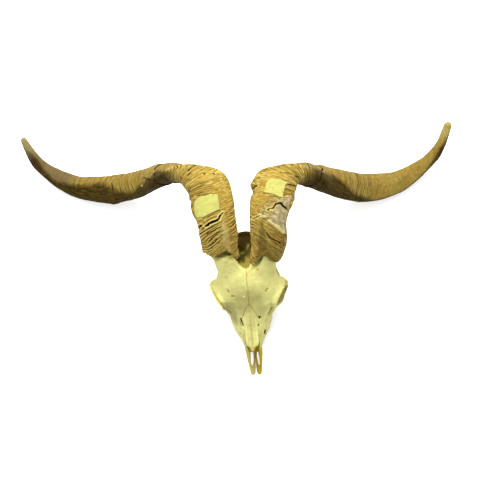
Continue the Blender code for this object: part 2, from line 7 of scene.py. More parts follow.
from itertools import product
from math import cos, pi, radians, sin, tau

import bmesh
import bpy
import numpy as np
from mathutils import Matrix, Vector


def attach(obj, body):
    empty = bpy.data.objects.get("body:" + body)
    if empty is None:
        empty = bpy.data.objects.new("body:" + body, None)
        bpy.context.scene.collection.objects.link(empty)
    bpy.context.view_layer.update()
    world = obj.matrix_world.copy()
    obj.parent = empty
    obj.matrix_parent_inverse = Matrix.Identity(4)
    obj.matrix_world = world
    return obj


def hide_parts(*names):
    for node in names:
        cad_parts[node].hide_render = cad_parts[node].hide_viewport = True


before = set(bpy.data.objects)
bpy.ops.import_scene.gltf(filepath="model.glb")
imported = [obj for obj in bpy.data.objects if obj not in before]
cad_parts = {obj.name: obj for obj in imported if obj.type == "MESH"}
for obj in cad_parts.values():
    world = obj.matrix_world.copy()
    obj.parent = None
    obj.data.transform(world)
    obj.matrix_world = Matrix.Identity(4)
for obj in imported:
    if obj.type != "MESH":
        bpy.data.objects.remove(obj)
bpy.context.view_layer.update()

MM = 0.001
MIDDLE = Vector((-12.0, 212.5, 0.0))

# Grain of the meshes: coarser while things are tried out.
BONE_VOXEL = 0.8
THIN_VOXEL = 0.45
BROW_ROUNDS = 160
HORN_ROWS = 1000
HORN_COLUMNS = 200

# Camera: the point that it looks at, its distance, how far it leans to +X and is turned, its lens and sensor.
CAMERA_AIM = Vector((-8.0, 232.0, 110.0))
CAMERA_DISTANCE = 2300.0
CAMERA_LEAN = 4.0
CAMERA_TURN = 3.0
CAMERA_LENS = 104.5
CAMERA_SENSOR = 36.0
CAMERA_CLIP = (0.05, 60.0)

# Side view of the middle of the skull's roof: distance back, height.
ROOF = (
    (40, 50), (60, 58), (80, 67), (100, 79), (124, 93), (140, 104), (158, 115), (174, 120), (190, 120),
    (204, 113), (218, 104),
)
# Half width and thickness of the forehead, and how far its rim lies below its middle.
FOREHEAD_HALF = (
    (96, 17), (106, 25), (114, 33), (122, 40), (134, 49), (146, 56), (156, 63), (163, 64), (170, 57),
    (178, 51), (186, 49), (196, 51), (210, 46),
)
FOREHEAD_DROP = (
    (96, 9), (112, 10), (124, 8), (137, 11), (146, 18), (152, 26), (159, 34), (165, 33), (171, 25), (178, 16),
    (190, 10), (210, 14),
)
FOREHEAD_THICK = 8.0

# Outline of the two nasal bones together, seen from above: distance back, half width.
NASAL_HALF = ((43, 1.8), (47, 2.8), (50.5, 5.6), (52.5, 9.0), (57, 10.5), (74, 10.7), (88, 12.4), (99, 14.6),
              (108, 10.0), (117, 4.4), (123, 1.6))
NASAL_THICK = 3.4
NASAL_INNER = 0.25
# How far the tip of the snout turns to the right.
SNOUT_TURN = 1.2

# Cross-sections of the face: distance back, roof, then (half width, height) of the nasal edge, the side, the
# cheek and the gum, and the height of the palate.
FACE = (
    (47, 51, (10.5, 50), (14.0, 45), (15.2, 37), (14.0, 28), 26),
    (58, 57, (12.0, 55.5), (16.5, 47), (19.0, 36), (17.5, 22), 22),
    (68, 61, (13.0, 59.5), (18.0, 51), (24.0, 38), (22.5, 17), 20),
    (80, 67, (14.0, 64.5), (20.0, 55), (29.5, 39), (27.5, 15), 20),
    (100, 77, (16.0, 73.5), (23.0, 64), (35.5, 41), (32.5, 14.5), 21),
    (112, 84, (20.0, 80), (29.0, 70), (36.0, 46), (33.5, 14.5), 22),
    (122, 89, (22.0, 84), (38.0, 74), (38.0, 52), (34.0, 15), 22),
    (136, 96, (24.0, 89), (38.0, 74), (36.0, 52), (33.5, 17), 24),
    (148, 103, (22.0, 95), (26.0, 74), (26.0, 52), (27.0, 27), 30),
)
FACE_LEAN = (0.55, 0.3, 0.1, 0, 0, 0, 0, 0, 0)

# Orbit: centre of its rim, and the two half axes of the rim's oval.
ORBIT_CENTRE = Vector((52.0, 138.0, 73.5))
ORBIT_LONG = Vector((0.48, 0.877, 0.0)) * 21.5
ORBIT_HIGH = Vector((-0.18, 0.0, 0.98)) * 19.0
ORBIT_OUT = Vector((0.86, -0.48, 0.16)).normalized()

# Upper cheek teeth from front to back: length and width of each crown.
CHEEK_TEETH = ((7.5, 8.0), (9.5, 10.0), (9.8, 11.5), (12.5, 13.5), (15.5, 14.5), (18.0, 14.0))
TOOTH_ROW_FRONT = 68.0
TOOTH_ROW_LINE = ((66, 17.5), (80, 21.5), (100, 26.0), (120, 28.0), (142, 26.5))
TOOTH_TOP = 20.0

# Each horn from root to tip: place, half of its wide and of its narrow axis, and the side of its keel.
LEFT_HORN = (
    ((-37, 212, 128), 31.0, 20.0, (1.0, 0.0, 0.0)),
    ((-38, 240, 152), 32.5, 20.0, (0.98, 0.0, 0.2)),
    ((-40.8, 270, 173), 32.2, 19.5, (0.95, 0.05, 0.3)),
    ((-44.6, 299, 185), 38.2, 19.5, (0.90, 0.20, 0.38)),
    ((-49, 319, 188), 39.5, 20.0, (0.70, 0.50, 0.5)),
    ((-69.3, 333.7, 180.7), 28.5, 21.3, (0.35, 0.45, 0.8)),
    ((-92, 343, 162), 26.5, 16.0, (-0.25, 0.15, 0.9)),
    ((-115, 346, 138), 26.0, 15.5, (-0.6, -0.20, 0.7)),
    ((-141, 341, 108), 26.0, 16.5, (-0.5, -0.60, 0.55)),
    ((-170, 335, 76), 25.0, 18.0, (-0.25, -0.9, 0.4)),
    ((-206, 331, 46), 24.5, 17.0, (-0.1, -0.95, 0.3)),
    ((-248, 331, 23), 22.5, 16.0, (0.0, -1.0, 0.2)),
    ((-288, 338, 13.5), 19.0, 14.0, (0.2, -1.0, 0.15)),
    ((-323, 354, 17), 15.5, 12.5, (0.4, -0.9, 0.1)),
    ((-350, 376, 31), 12.0, 10.5, (0.6, -0.75, 0.1)),
    ((-363, 401, 49), 9.0, 8.0, (0.8, -0.5, 0.1)),
    ((-370, 421, 66), 5.8, 5.0, (0.85, -0.35, 0.1)),
)
RIGHT_HORN = (
    ((34, 205, 126), 28.5, 20.0, (-1.0, 0.0, 0.0)),
    ((41, 234, 152), 31.0, 20.0, (-0.98, 0.0, 0.2)),
    ((43.5, 265, 173), 30.5, 20.0, (-0.95, 0.05, 0.3)),
    ((50.8, 295, 185), 36.0, 19.5, (-0.90, 0.20, 0.38)),
    ((60, 315, 188), 39.5, 19.0, (-0.72, 0.48, 0.5)),
    ((73, 326, 181), 28.0, 22.0, (-0.35, 0.45, 0.8)),
    ((90, 334, 162), 25.0, 17.0, (0.25, 0.15, 0.9)),
    ((112, 331, 138), 26.5, 17.5, (0.6, -0.20, 0.7)),
    ((134, 322, 108), 27.5, 19.0, (0.5, -0.60, 0.55)),
    ((162, 315, 76), 26.0, 18.5, (0.25, -0.9, 0.4)),
    ((192, 310, 46), 25.0, 17.0, (0.1, -0.95, 0.3)),
    ((226, 310, 23), 23.0, 16.0, (0.0, -1.0, 0.2)),
    ((259, 317, 13.5), 19.0, 14.0, (-0.2, -1.0, 0.15)),
    ((290, 332, 17), 15.0, 13.0, (-0.4, -0.9, 0.1)),
    ((316, 352, 31), 11.5, 10.5, (-0.6, -0.75, 0.1)),
    ((333, 376, 49), 9.0, 8.0, (-0.8, -0.5, 0.1)),
    ((345, 405, 66), 7.0, 6.0, (-0.85, -0.35, 0.1)),
)
KEEL_SHARPNESS = 0.28
# Length over which the turn of a horn's cross-sections is evened out.
BEND_EASE = 110.0

# On a horn, a place is its distance from the root and its angle in degrees: 0 is the keel, 90 the middle of
# the face that is turned up at the root, and 180 the side away from the keel.
# Width on the surface of one degree, near the root.
ANGLE_WIDTH = 0.42
# How far the sheath's edge at the root lies further up the horn at each angle.
LEFT_ROOT = (
    (0, -9), (32, -8), (45, 1), (54, 9), (63, 13), (72, 17), (84, 17), (93, 15), (103, 11), (121, 10),
    (130, 12), (143, 14), (165, 8), (185, 3), (270, -4), (360, -9),
)
RIGHT_ROOT = (
    (0, -12), (20, -15), (38, -17), (50, -12), (60, -2), (72, 10), (81, 16), (93, 13), (105, 7), (113, 5),
    (139, 1), (152, 4), (185, 1), (270, -5), (360, -12),
)
ROOT_LENGTH = 38.0
# How much nearer to the middle of the horn its keel lies at some distances, in millimetres.
LEFT_PINCH = ((0, 5.5), (22, 5.0), (45, 1.5), (65, 0), (600, 0))
RIGHT_PINCH = ((0, 4.5), (22, 5.5), (45, 2.5), (75, 0), (600, 0))
LIP_THICK = 2.6
LIP_DEPTH = 12.0

# Lines along which a sheath has split, each with its half width at some angles.
LEFT_CRACKS = (
    (((87, 57), (79, 68), (76, 89), (69, 114)), ((57, 0.7), (66, 2.0), (90, 2.6), (114, 1.8))),
    (((72, 122), (67, 134), (59, 160)), ((122, 1.3), (134, 3.2), (160, 3.0))),
)
RIGHT_CRACKS = (
    (((97, 76), (102, 90), (108, 94), (111, 104), (110, 112), (105, 121), (99, 140)),
     ((76, 0.6), (90, 1.1), (100, 1.9), (116, 2.6), (140, 1.5))),
    (((79, 27), (84, 45), (88, 56)), ((27, 1.0), (56, 0.8))),
    (((171, 32), (173, 43), (176, 54)), ((32, 1.6), (54, 0.9))),
)
# Single dark grooves, and how dark each is.
LEFT_STROKES = (
    (((65, 69), (62, 90), (56, 117)), 0.8), (((58, 67), (56, 82), (49, 102), (43, 111)), 0.7),
    (((51, 69), (45, 86), (31, 118)), 0.7), (((39, 84), (18, 127)), 0.7),
    (((64, 110), (71, 88), (76, 69)), 0.5), (((146, 122), (141, 97), (131, 71), (126, 48)), 0.45),
    (((159, 86), (145, 63), (137, 39)), 0.45), (((154, 25), (156, 39)), 1.0), (((151, 43), (155, 54)), 1.0),
    (((138, 42), (137, 45)), 1.0), (((131, 31), (129, 34)), 1.0), (((146, 103), (143, 116)), 0.9),
    (((166, 56), (163, 64)), 1.0), (((270, 289), (255, 305), (236, 337)), 1.0),
)
RIGHT_STROKES = (
    (((62, 77), (52, 90), (41, 122)), 0.9), (((52, 117), (51, 134), (33, 137), (36, 119)), 0.6),
    (((144, 46), (156, 53), (168, 73)), 0.6), (((158, 61), (168, 63)), 1.0), (((141, 91), (164, 110)), 0.9),
    (((117, 12), (116, 22), (120, 33)), 0.9),
)
# Places where one ring stands off from the next: its distance at some angles, then the step up and the depth
# of the groove.
LEFT_STEPS = (
    (((272, 243), (304, 233), (329, 227)), 1.9, 2.6), (((265, 341), (296, 338), (321, 335)), 0.2, 0.6),
    (((240, 364), (273, 358), (313, 355)), 0.2, 0.6),
)
RIGHT_STEPS = (
    (((267, 234), (310, 217), (353, 210)), 1.2, 2.4), (((236, 319), (271, 315), (331, 315)), 0.2, 0.6),
    (((241, 347), (266, 344), (293, 342), (335, 346)), 0.1, 0.4),
)
# Swellings and dents: place, how far they reach along and round the horn, and height.
LEFT_BUMPS = (
    ((368, 358), (15, 26), 2.2), ((226, 285), (7, 40), 1.4), ((137, 152), (7, 34), 4.0),
    ((113, 158), (8, 34), -1.8), ((84, 158), (12, 34), 2.0),
)
RIGHT_BUMPS = (
    ((118.5, 352), (4, 34), 3.8), ((111, 352), (3.2, 34), -2.8), ((141, 140), (6, 30), 2.0),
    ((122, 155), (6, 30), -2.0), ((203, 270), (9, 45), 1.5), ((245, 240), (8, 30), 1.2),
    ((262, 240), (5, 25), 0.9), ((282, 240), (6, 25), 0.9),
)
LEFT_DOTS = ((275, 315, 2.6),)
# How strong the rings are along the outer part of each horn.
LEFT_ARM_RINGS = (
    (165, 0.7), (230, 0.7), (250, 0.35), (285, 0.45), (300, 0.75), (368, 0.7), (385, 0.5), (520, 0.35),
    (560, 0.1),
)
RIGHT_ARM_RINGS = (
    (165, 0.7), (225, 0.7), (245, 0.35), (275, 0.5), (285, 0.85), (340, 0.85), (362, 0.12), (551, 0.1),
)
# Angle at which the painted shade on each horn's underside begins, at some distances.
LEFT_UNDER = (
    (165, 380), (184, 348), (206, 312), (225, 298), (250, 295), (300, 300), (335, 292), (360, 270),
    (380, 240), (430, 244), (460, 275), (480, 305), (520, 335), (550, 400), (573, 520),
)
RIGHT_UNDER = (
    (165, 350), (185, 330), (205, 300), (230, 283), (255, 272), (280, 276), (300, 290), (330, 312),
    (360, 332), (440, 345), (461, 360), (488, 390), (512, 405), (530, 440), (551, 520),
)
# Smooth hollow beside the keel at each root.
LEFT_VALLEY = ((88, 56), (50, 48), (12, 49), (8, 64), (28, 77), (60, 74))
RIGHT_VALLEY = ((87, 62), (62, 49), (10, 50), (8, 74), (19, 91), (45, 84), (66, 74))
# Weathered patch on the right horn and the ridge along its lower edge.
PATCH = (
    (132, 124), (124, 109), (115, 89), (111, 74), (106, 71), (99, 54), (91, 54), (86, 76), (78, 91),
    (69, 114), (58, 135), (60, 150), (82, 147), (98, 142), (122, 136),
)
PATCH_RIDGE = ((88, 56), (86, 76), (78, 91), (69, 114), (58, 137))

# Corners of the strip of tape on each horn.
LEFT_TAPE = ((112, 58), (93, 63), (82, 133), (92, 139), (116, 121), (118, 98), (115, 74))
RIGHT_TAPE = ((132, 52), (142, 84), (134, 98), (120, 106), (119, 84), (117, 57))

# Fine marks on the bone, seen from above.
FRONTAL_SUTURE = ((-0.8, 199), (0.2, 188), (0.6, 179), (0.1, 159), (0.3, 139), (0.4, 123))
NASAL_SUTURES = (
    ((-0.4, 123.4), (-4.2, 118), (-7.5, 113.4), (-10.6, 107), (-14.6, 100)),
    ((2.0, 123.2), (5.0, 117), (7.4, 111), (11, 106), (14.6, 100)),
)
CHEEK_SUTURES = (
    ((-14.6, 100), (-24, 103), (-33, 112), (-40, 118)),
    ((14.6, 100), (24, 103), (33, 112), (40, 118)),
    ((-13, 90), (-18, 82), (-15, 70), (-13, 60)),
    ((13, 90), (18, 82), (15, 70), (13, 60)),
)
# Soft-edged pits of the brow: place and size.
PITS = (
    (-33.1, 149.0, 2.4), (-31.6, 146.5, 1.6), (-27.0, 139.5, 2.0), (-23.6, 139.3, 1.6), (30.4, 145.7, 2.0),
    (32.6, 148.6, 2.2), (-14, 118, 0.8),
)
# Slits and holes through the bone: line and half width.
HOLES = (
    (((-16.1, 100.2), (-14.8, 95.0), (-13.0, 89.2)), 1.5),
    (((14.6, 102.0), (15.4, 99.2)), 1.4),
    (((12.9, 88.6), (13.0, 86.0)), 0.9),
    (((22.9, 77.0), (21.6, 71.8)), 1.7),
    (((-21.5, 76.5), (-19.8, 72.5)), 0.8),
)
WHITE_DOT = (-6.9, 138.3, 1.5)
# Hollow in the forehead between the two horns.
HORN_VALLEY = (
    (-17.5, 208), (-15.5, 200), (-10.5, 192.5), (-5.5, 187), (-0.5, 182.5), (3.5, 186), (8.6, 193.5),
    (11.4, 199), (10, 210),
)
# Painted light on a strip of the left cheekbone, and dark lines along the rims of the orbits.
MALAR_STRIP = ((-69, 151), (-65, 139), (-59.5, 129), (-52, 119))
MALAR_LINE = ((-60.4, 154.5), (-54.3, 142), (-51, 136), (-45.5, 128.5), (-42, 121.5))
RIGHT_RIM = ((66.5, 165), (64.5, 158), (63, 148), (61, 139), (57, 130), (51, 122))

# Growth rings of a horn, from bold to fine: how far apart, how deep and how wide the grooves are.
RING_KINDS = (
    ((3.6, 5.6), (1.0, 1.8), (0.6, 1.0)),
    ((2.4, 4.0), (0.4, 0.9), (0.45, 0.8)),
    ((1.6, 2.8), (0.12, 0.4), (0.35, 0.55)),
)
# Row of knobs along a keel: its angle and half width at some distances, its end, and its knobs and cracks.
KNOB_MIDDLE = ((0, 12), (70, 12), (110, 5), (600, 5))
KNOB_REACH = ((0, 32), (60, 30), (105, 24), (600, 24))
KNOB_END = (75, 115)
KNOB_SIZE = (3.2, 7.0)
KNOB_HEIGHT = (0.5, 1.2)
KNOB_CRACK = (0.5, 0.9)
KNOB_DARK = (0.4, 0.9)
KNOB_DEPTH = 1.1
# Slant of the rings round the horn at some distances, and where they bow.
RING_SLANT = (
    (0, -0.5), (40, -0.44), (62, -0.28), (96, -0.1), (126, 0.3), (158, 0.42), (215, 0.0), (600, 0.0),
)
RING_BOW = (200, 260)
# Half the thickness of a horn as its random patterns see it, and where it begins to shrink.
PATTERN_RADIUS = 24.0
PATTERN_TAPER = 300
# First angle of the count that keeps the keel and the faces beside it together.
FIRST_ANGLE = 150
# Along the horn, where the bend and the arm begin.
BEND_START = (112, 130)
ARM_START = (165, 205)
# Angles and distances between which a face is smooth, is ridged at the root, or has the torn band.
PLAIN_ANGLES, PLAIN_REACH = ((22, 34), (60, 84)), ((84, 98), (135, 160))
RIDGED_ANGLES, RIDGED_END = ((60, 74), (165, 185)), (68, 76)
BAND_ANGLES, BAND_END = ((37, 42), (44, 50)), (84, 104)
# Soft edges and depths or heights of the other forms: the hollow by the keel, splits and their lips, single
# grooves, dots and the patch's ridge.
VALLEY_EDGE, VALLEY_DEPTH = (-1.5, 3.0), 1.6
CRACK_DEPTH, LIP_HEIGHT = 5.0, 0.9
STROKE_DEPTH, STROKE_EDGE = 1.1, (0.3, 1.1)
DOT_HEIGHT = 0.8
RIDGE_HEIGHT, RIDGE_EDGE = 1.6, (1.6, 3.2)
# Seams between the flakes of the weathered patch: the height at which each runs and its width.
PATCH_SEAMS = ((0.25, 0.06), (-0.27, 0.05))
# Paint of the horns: how dark the painted shade on the underside of the arm is, where the root's shade ends,
# where the tip turns dull, and how far from its end it begins to turn pale and is.
ARM_SHADE = 0.92
LOW_SHADE_END = (25, 80)
DULL_START = (400, 465)
TIP_PALE = (45, 5)

# Fine forms of each horn. A dictionary also says how strong some of its paint is.
LEFT_MARKS = {
    "seed": 100, "cracks": LEFT_CRACKS, "strokes": LEFT_STROKES, "steps": LEFT_STEPS, "bumps": LEFT_BUMPS,
    "dots": LEFT_DOTS, "arm_rings": LEFT_ARM_RINGS, "under_from": LEFT_UNDER, "valley": LEFT_VALLEY,
    "base_ridges": 1.0, "valley_shade": 0.0, "valley_pale": 0.3, "low_shade": 0.0, "dull": 0.8,
}
RIGHT_MARKS = {
    "seed": 200, "cracks": RIGHT_CRACKS, "strokes": RIGHT_STROKES, "steps": RIGHT_STEPS, "bumps": RIGHT_BUMPS,
    "dots": (), "arm_rings": RIGHT_ARM_RINGS, "under_from": RIGHT_UNDER, "valley": RIGHT_VALLEY,
    "base_ridges": 0.4, "valley_shade": 0.6, "valley_pale": 0.0, "low_shade": 0.45, "dull": 0.0,
    "patch": PATCH, "ridge": PATCH_RIDGE,
}

# Half the thickness of an orbit's rim.
ORBIT_THICK = 4.6
# Funnel of bone behind each orbit's rim and the hollow in it: distance outward, size.
ORBIT_CUP = ((-36, 0.55), (-24, 0.85), (-12, 1.0), (0, 1.06))
ORBIT_HOLLOW = ((-34, 0.22), (-27, 0.55), (-16, 0.80), (-4, 0.88), (4, 0.88), (16, 0.70))
# Steps of a smooth path from each of its points to the next.
BAR_STEPS = 6
# The two bars of an incisive bone: points, and half width and half height at each.
INCISIVE_BARS = (
    (((5.5, 3, 11), (6.7, 9, 13.5), (9.0, 16, 18), (10.1, 26, 25), (10.4, 38, 33), (11.6, 48, 40),
      (12.8, 58, 46), (12.6, 66, 53)),
     ((3.9, 3.8), (3.8, 4.2), (2.4, 4.6), (2.8, 5.4), (3.7, 6.2), (3.0, 6.4), (1.9, 5.0), (1.3, 2.6))),
    (((4.8, 4, 10.5), (3.7, 12, 12), (2.5, 17.5, 13.2), (1.6, 26, 14.5), (1.6, 38, 17), (1.6, 50, 20)),
     ((2.8, 3.2), (3.3, 3.2), (2.3, 3.0), (1.5, 2.8), (1.5, 3.0), (1.5, 2.6))),
)
# Height and size of a cheek tooth's outline, from its chewing face upward.
TOOTH_LEVELS = ((0.0, 0.86), (0.7, 0.94), (1.5, 0.97), (5.0, 1.0), (9.0, 1.0), (TOOTH_TOP, 0.95))

# Room round the walls of the horn sheaths: sides of its tube, how far it reaches out, the gap that it leaves
# and how far below the sheath's edge it begins.
ROOM_SIDES = 64
ROOM_REACH = 14.0
ROOM_GAP = 0.35
ROOM_START = 0.4
# Hollow in a sheath's root: how deep each ring lies and how thick the wall is there. Then the rounded tip:
# how far each ring lies past the end of the horn and how large it is, and where the point is.
SHEATH_HOLLOW = ((LIP_DEPTH, LIP_THICK), (LIP_DEPTH / 2, LIP_THICK), (1.0, LIP_THICK), (0.2, LIP_THICK * 0.8))
SHEATH_TIP = ((0.35, 0.93), (0.62, 0.76), (0.82, 0.5), (0.93, 0.25))
TIP_REACH = 0.96
# How dark the hollow of a sheath is.
HOLLOW_GROOVE = 0.25
# Tape: rows of its grid, thickness, and how far it stands off the horn.
TAPE_ROWS = 70
TAPE_THICK = 0.4
TAPE_OFF = 0.3
# Sides of a cell in a grid: where the next cell lies, and the two corners between them.
CELL_SIDES = (
    ((0, -1), (0, 0), (1, 0)),
    ((1, 0), (1, 0), (1, 1)),
    ((0, 1), (1, 1), (0, 1)),
    ((-1, 0), (0, 1), (0, 0)),
)

# Bare core below the edge of each sheath, by the horn's side, and how far from the horn's axis it is painted.
CORE_REACH = {-1: 14.0, 1: 7.5}
CORE_RADIUS = 1.3
# Stains of the bone: a rusty spot, and the middle and half axes of the grey field on the nose.
RUSTY_SPOT = (19.2, 182.5, 3.0)
GREY_FIELD = ((0, 127), (38, 28))
# Soft limits of some parts of the skull. Two pairs are a start and an end, one pair is a start or an end.
BROW_BACK, BROW_HEIGHT = ((140, 156), (199, 207)), (84, 98)
RIDGED_NOSE_BACK, RIDGED_NOSE_HEIGHT = ((50, 60), (94, 112)), (54, 57)
# Behind the nostrils the floor of the nose is painted dark as shade.
NOSTRIL_BACK, NOSTRIL_TOP, NOSTRIL_SIDE = ((49, 51), (62, 74)), (44, 47), (8.5, 10)
ORBIT_BACK, ORBIT_SIDE, ORBIT_HEIGHT = ((108, 118), (156, 166)), (33, 39), (62, 74)
NAPE_SIDE, NAPE_HEIGHT = (24, 32), (70, 84)
# The left cheek is greyed there as painted shade.
LEFT_CHEEK_BACK, LEFT_CHEEK_SIDE, LEFT_CHEEK_HEIGHT = ((78, 96), (122, 136)), (14, 30), (34, 60)
OCHRE_END = (52, 74)
STRIP_EDGE = (6.5, 8.5)
RIM_EDGE = (2.0, 4.0)
# Depth of the frontal suture, of the finer sutures, of the holes and of the hollow between the horns, and
# height of that hollow's lip and of the ridges on the nose.
SUTURE_DEPTH, FINE_SUTURE_DEPTH, HOLE_DEPTH, HOLLOW_DEPTH = 0.7, 0.2, 3.0, 3.0
HOLLOW_LIP, NOSE_RIDGE = 0.7, 0.7

# Studio, in metres and watts.
FLOOR_SIZE = 9.0
FLOOR_DROP = 0.0005
SKY_STRENGTH = 1.6
LAMP_PLACE = Vector((0.0, 1.4, 1.9))
LAMP_AIM = Vector((0.0, 0.0, 0.05))
LAMP_SIZE = 1.2
LAMP_POWER = 125

# How much the dry surfaces shine.
DRY_SHINE = 0.015
# Looks: for a stored value, where its paint begins and is full and how strong it is, then the colour.
BONE_STAINS_AND_PAINTED_LIGHT = (
    # grey: a grey field on the nose, the nose's middle groove and painted shade on the left cheek.
    ("grey", (0, 1, 0.85), (0.172, 0.158, 0.056)),
    ("ochre", None, (0.205, 0.150, 0.008)),
    ("core", (0, 1, 0.9), (0.128, 0.104, 0.012)),
    # hollow: darker brown where the bone is concave, and painted shade in the nose behind the nostrils.
    ("hollow", (0.1, 1.0, 0.8), (0.085, 0.060, 0.015)),
    # dark: the low ground between the horns, partly the bone's dark brown, partly painted shade.
    ("dark", (0.0, 0.85, 1.0), (0.020, 0.012, 0.0005)),
    # bright: a white dot, the lips of the hollow between the horns, the nose's ridges and painted light on a
    # strip.
    ("bright", (0.1, 0.8, 0.9), (0.470, 0.440, 0.150)),
    # Stronger painted light where that cheekbone strip lies low in the orbit's shade.
    ("painted_light_ledge", None, (0.720, 0.640, 0.150)),
    ("pit_darkening", (0.1, 1.0, 0.75), (0.110, 0.082, 0.018)),
    ("spot", (0.1, 0.8, 0.7), (0.260, 0.150, 0.030)),
    ("seam", (0.15, 0.8, 0.7), (0.165, 0.112, 0.016)),
    ("pit", (0.15, 0.7, 0.95), (0.012, 0.007, 0.001)),
)
# The same for the horns, with painted highlights and shade among them, laid below and above the paints that
# have a pattern of their own.
HORN_STAINS_AND_PAINTED_LIGHT = (
    ("knobs", (0.1, 1, 0.5), (0.165, 0.090, 0.012)),
    # crest: painted highlights on ring ridges, knob tops and the lips of splits.
    ("crest", (0.1, 0.7, 0.85), (0.385, 0.310, 0.086)),
    # arm: painted shade, darkening the whole arm.
    ("arm", (0, 1, 0.6), (0.090, 0.060, 0.012)),
)
HORN_LAST_STAINS = (
    ("pale", None, (0.315, 0.270, 0.110)),
    ("groove", (0.1, 0.75, 0.97), (0.007, 0.003, 0.001)),
)


def through(knots, at):
    """Smooth curve through (place, value) knots, read at one place or at several."""
    places = np.array([knot[0] for knot in knots], float)
    values = np.array([knot[1] for knot in knots], float)
    slopes = np.gradient(values, places, axis=0)
    at = np.clip(np.atleast_1d(np.asarray(at, float)), places[0], places[-1])
    i = np.clip(np.searchsorted(places, at, side="right") - 1, 0, len(places) - 2)
    step = places[i + 1] - places[i]
    t = (at - places[i]) / step
    if values.ndim > 1:
        t, step = t[:, None], step[:, None]
    return (
        values[i] * (2 * t**3 - 3 * t**2 + 1)
        + slopes[i] * step * (t**3 - 2 * t**2 + t)
        + values[i + 1] * (3 * t**2 - 2 * t**3)
        + slopes[i + 1] * step * (t**3 - t**2)
    )


def between(knots, at):
    """Straight lines through (place, value) knots, read at several places."""
    return np.interp(at, [knot[0] for knot in knots], [knot[1] for knot in knots])


def value(knots, at):
    return float(through(knots, at)[0])


def unit(v):
    return v / np.linalg.norm(v, axis=-1, keepdims=True)


def mirrored(rings):
    return [np.asarray(ring) * (-1, 1, 1) for ring in rings]


def bell(x, width):
    """1 at zero, falling off smoothly on both sides over this width."""
    return np.exp(-((x / width) ** 2))


def blot(places, centre, size):
    """1 at a centre, falling off smoothly over this size, or over one size for each direction."""
    return bell(np.linalg.norm((places - np.array(centre)) / size, axis=1), 1)


def soft(x, low, high):
    """0 below low, 1 above high and a smooth step between them."""
    t = np.clip((np.asarray(x, float) - low) / (high - low), 0, 1)
    return t * t * (3 - 2 * t)


def within(x, start, end):
    """1 between two soft edges, each of them from where it begins to where it is over."""
    return soft(x, *start) * (1 - soft(x, *end))


def cloud(points, size, seed):
    """Smooth random values from -1 to 1 at points, in lumps of about this size."""
    grid = np.random.default_rng(seed).uniform(-1, 1, (32, 32, 32))
    at = np.asarray(points, float) / size
    low = np.floor(at).astype(int)
    t = at - low
    t = t * t * (3 - 2 * t)
    total = np.zeros(len(at))
    for corner in product((0, 1), repeat=3):
        weight = np.prod(np.where(np.array(corner) == 1, t, 1 - t), axis=1)
        i, j, k = ((low + corner) % 32).T
        total += weight * grid[i, j, k]
    return total


def wander(points, size, seed):
    """Two random shifts for each point, in lumps of about this size."""
    return np.stack([cloud(points, size, seed), cloud(points, size, seed + 1)], axis=1)


def line_distance(points, line):
    """Distance from each point to the nearest place on a line of points."""
    best = np.full(len(points), 1e9)
    for a, b in zip(np.array(line[:-1], float), np.array(line[1:], float)):
        along = b - a
        share = np.clip((points - a) @ along / (along @ along), 0, 1)
        best = np.minimum(best, np.linalg.norm(points - a - share[:, None] * along, axis=1))
    return best


def inside_distance(points, outline):
    """Distance from each point to a closed outline: above zero inside it and below zero outside."""
    corners = np.array(outline, float)
    inside = np.zeros(len(points), bool)
    for (ax, ay), (bx, by) in zip(corners, np.roll(corners, -1, axis=0)):
        crosses = (ay > points[:, 1]) != (by > points[:, 1])
        edge_x = ax + (points[:, 1] - ay) / (by - ay + 1e-9) * (bx - ax)
        inside ^= crosses & (points[:, 0] < edge_x)
    away = line_distance(points, [*corners, corners[0]])
    return np.where(inside, away, -away)


def new_rows(form, rings):
    """Vertices for rings of points."""
    return [[form.verts.new(Vector(p) * MM) for p in ring] for ring in rings]


def join_rows(form, rows):
    """Adds the wall between each row of vertices and the next."""
    count = len(rows[0])
    for row, after in zip(rows, rows[1:]):
        for j in range(count):
            k = (j + 1) % count
            form.faces.new((row[j], row[k], after[k]))
            form.faces.new((row[j], after[k], after[j]))


def loft(form, rings):
    """Adds a closed body through rings of points, with a fan over each end."""
    rows = new_rows(form, rings)
    join_rows(form, rows)
    count = len(rows[0])
    for ring, row in ((rings[0], rows[0]), (rings[-1], rows[-1])):
        tip = form.verts.new(Vector(np.mean(ring, axis=0)) * MM)
        for j in range(count):
            form.faces.new((row[j], row[(j + 1) % count], tip))


def loft_pair(form, rings):
    """Adds a closed body and its twin on the other side."""
    loft(form, rings)
    loft(form, mirrored(rings))


def oval(centre, across, along, sides=12):
    """Ring of points round centre with two half axes."""
    centre, across, along = np.array(centre), np.array(across), np.array(along)
    return [centre + cos(tau * j / sides) * across + sin(tau * j / sides) * along for j in range(sides)]


def bar(form, path, sizes, sides=16, up=(0, 0, 1), pair=True):
    """Adds a tapered bar along a smooth path. sizes are its half width and half height at each point."""
    knots = [(i, (*p, *s)) for i, (p, s) in enumerate(zip(path, sizes))]
    data = through(knots, np.linspace(0, len(path) - 1, (len(path) - 1) * BAR_STEPS + 1))
    line, half = data[:, :3], data[:, 3:]
    ahead = unit(np.gradient(line, axis=0))
    across = unit(np.cross(ahead, np.array(up, float)))
    over = np.cross(across, ahead)
    rings = [oval(p, a * h[0], o * h[1], sides) for p, a, o, h in zip(line, across, over, half)]
    if pair:
        loft_pair(form, rings)
    else:
        loft(form, rings)


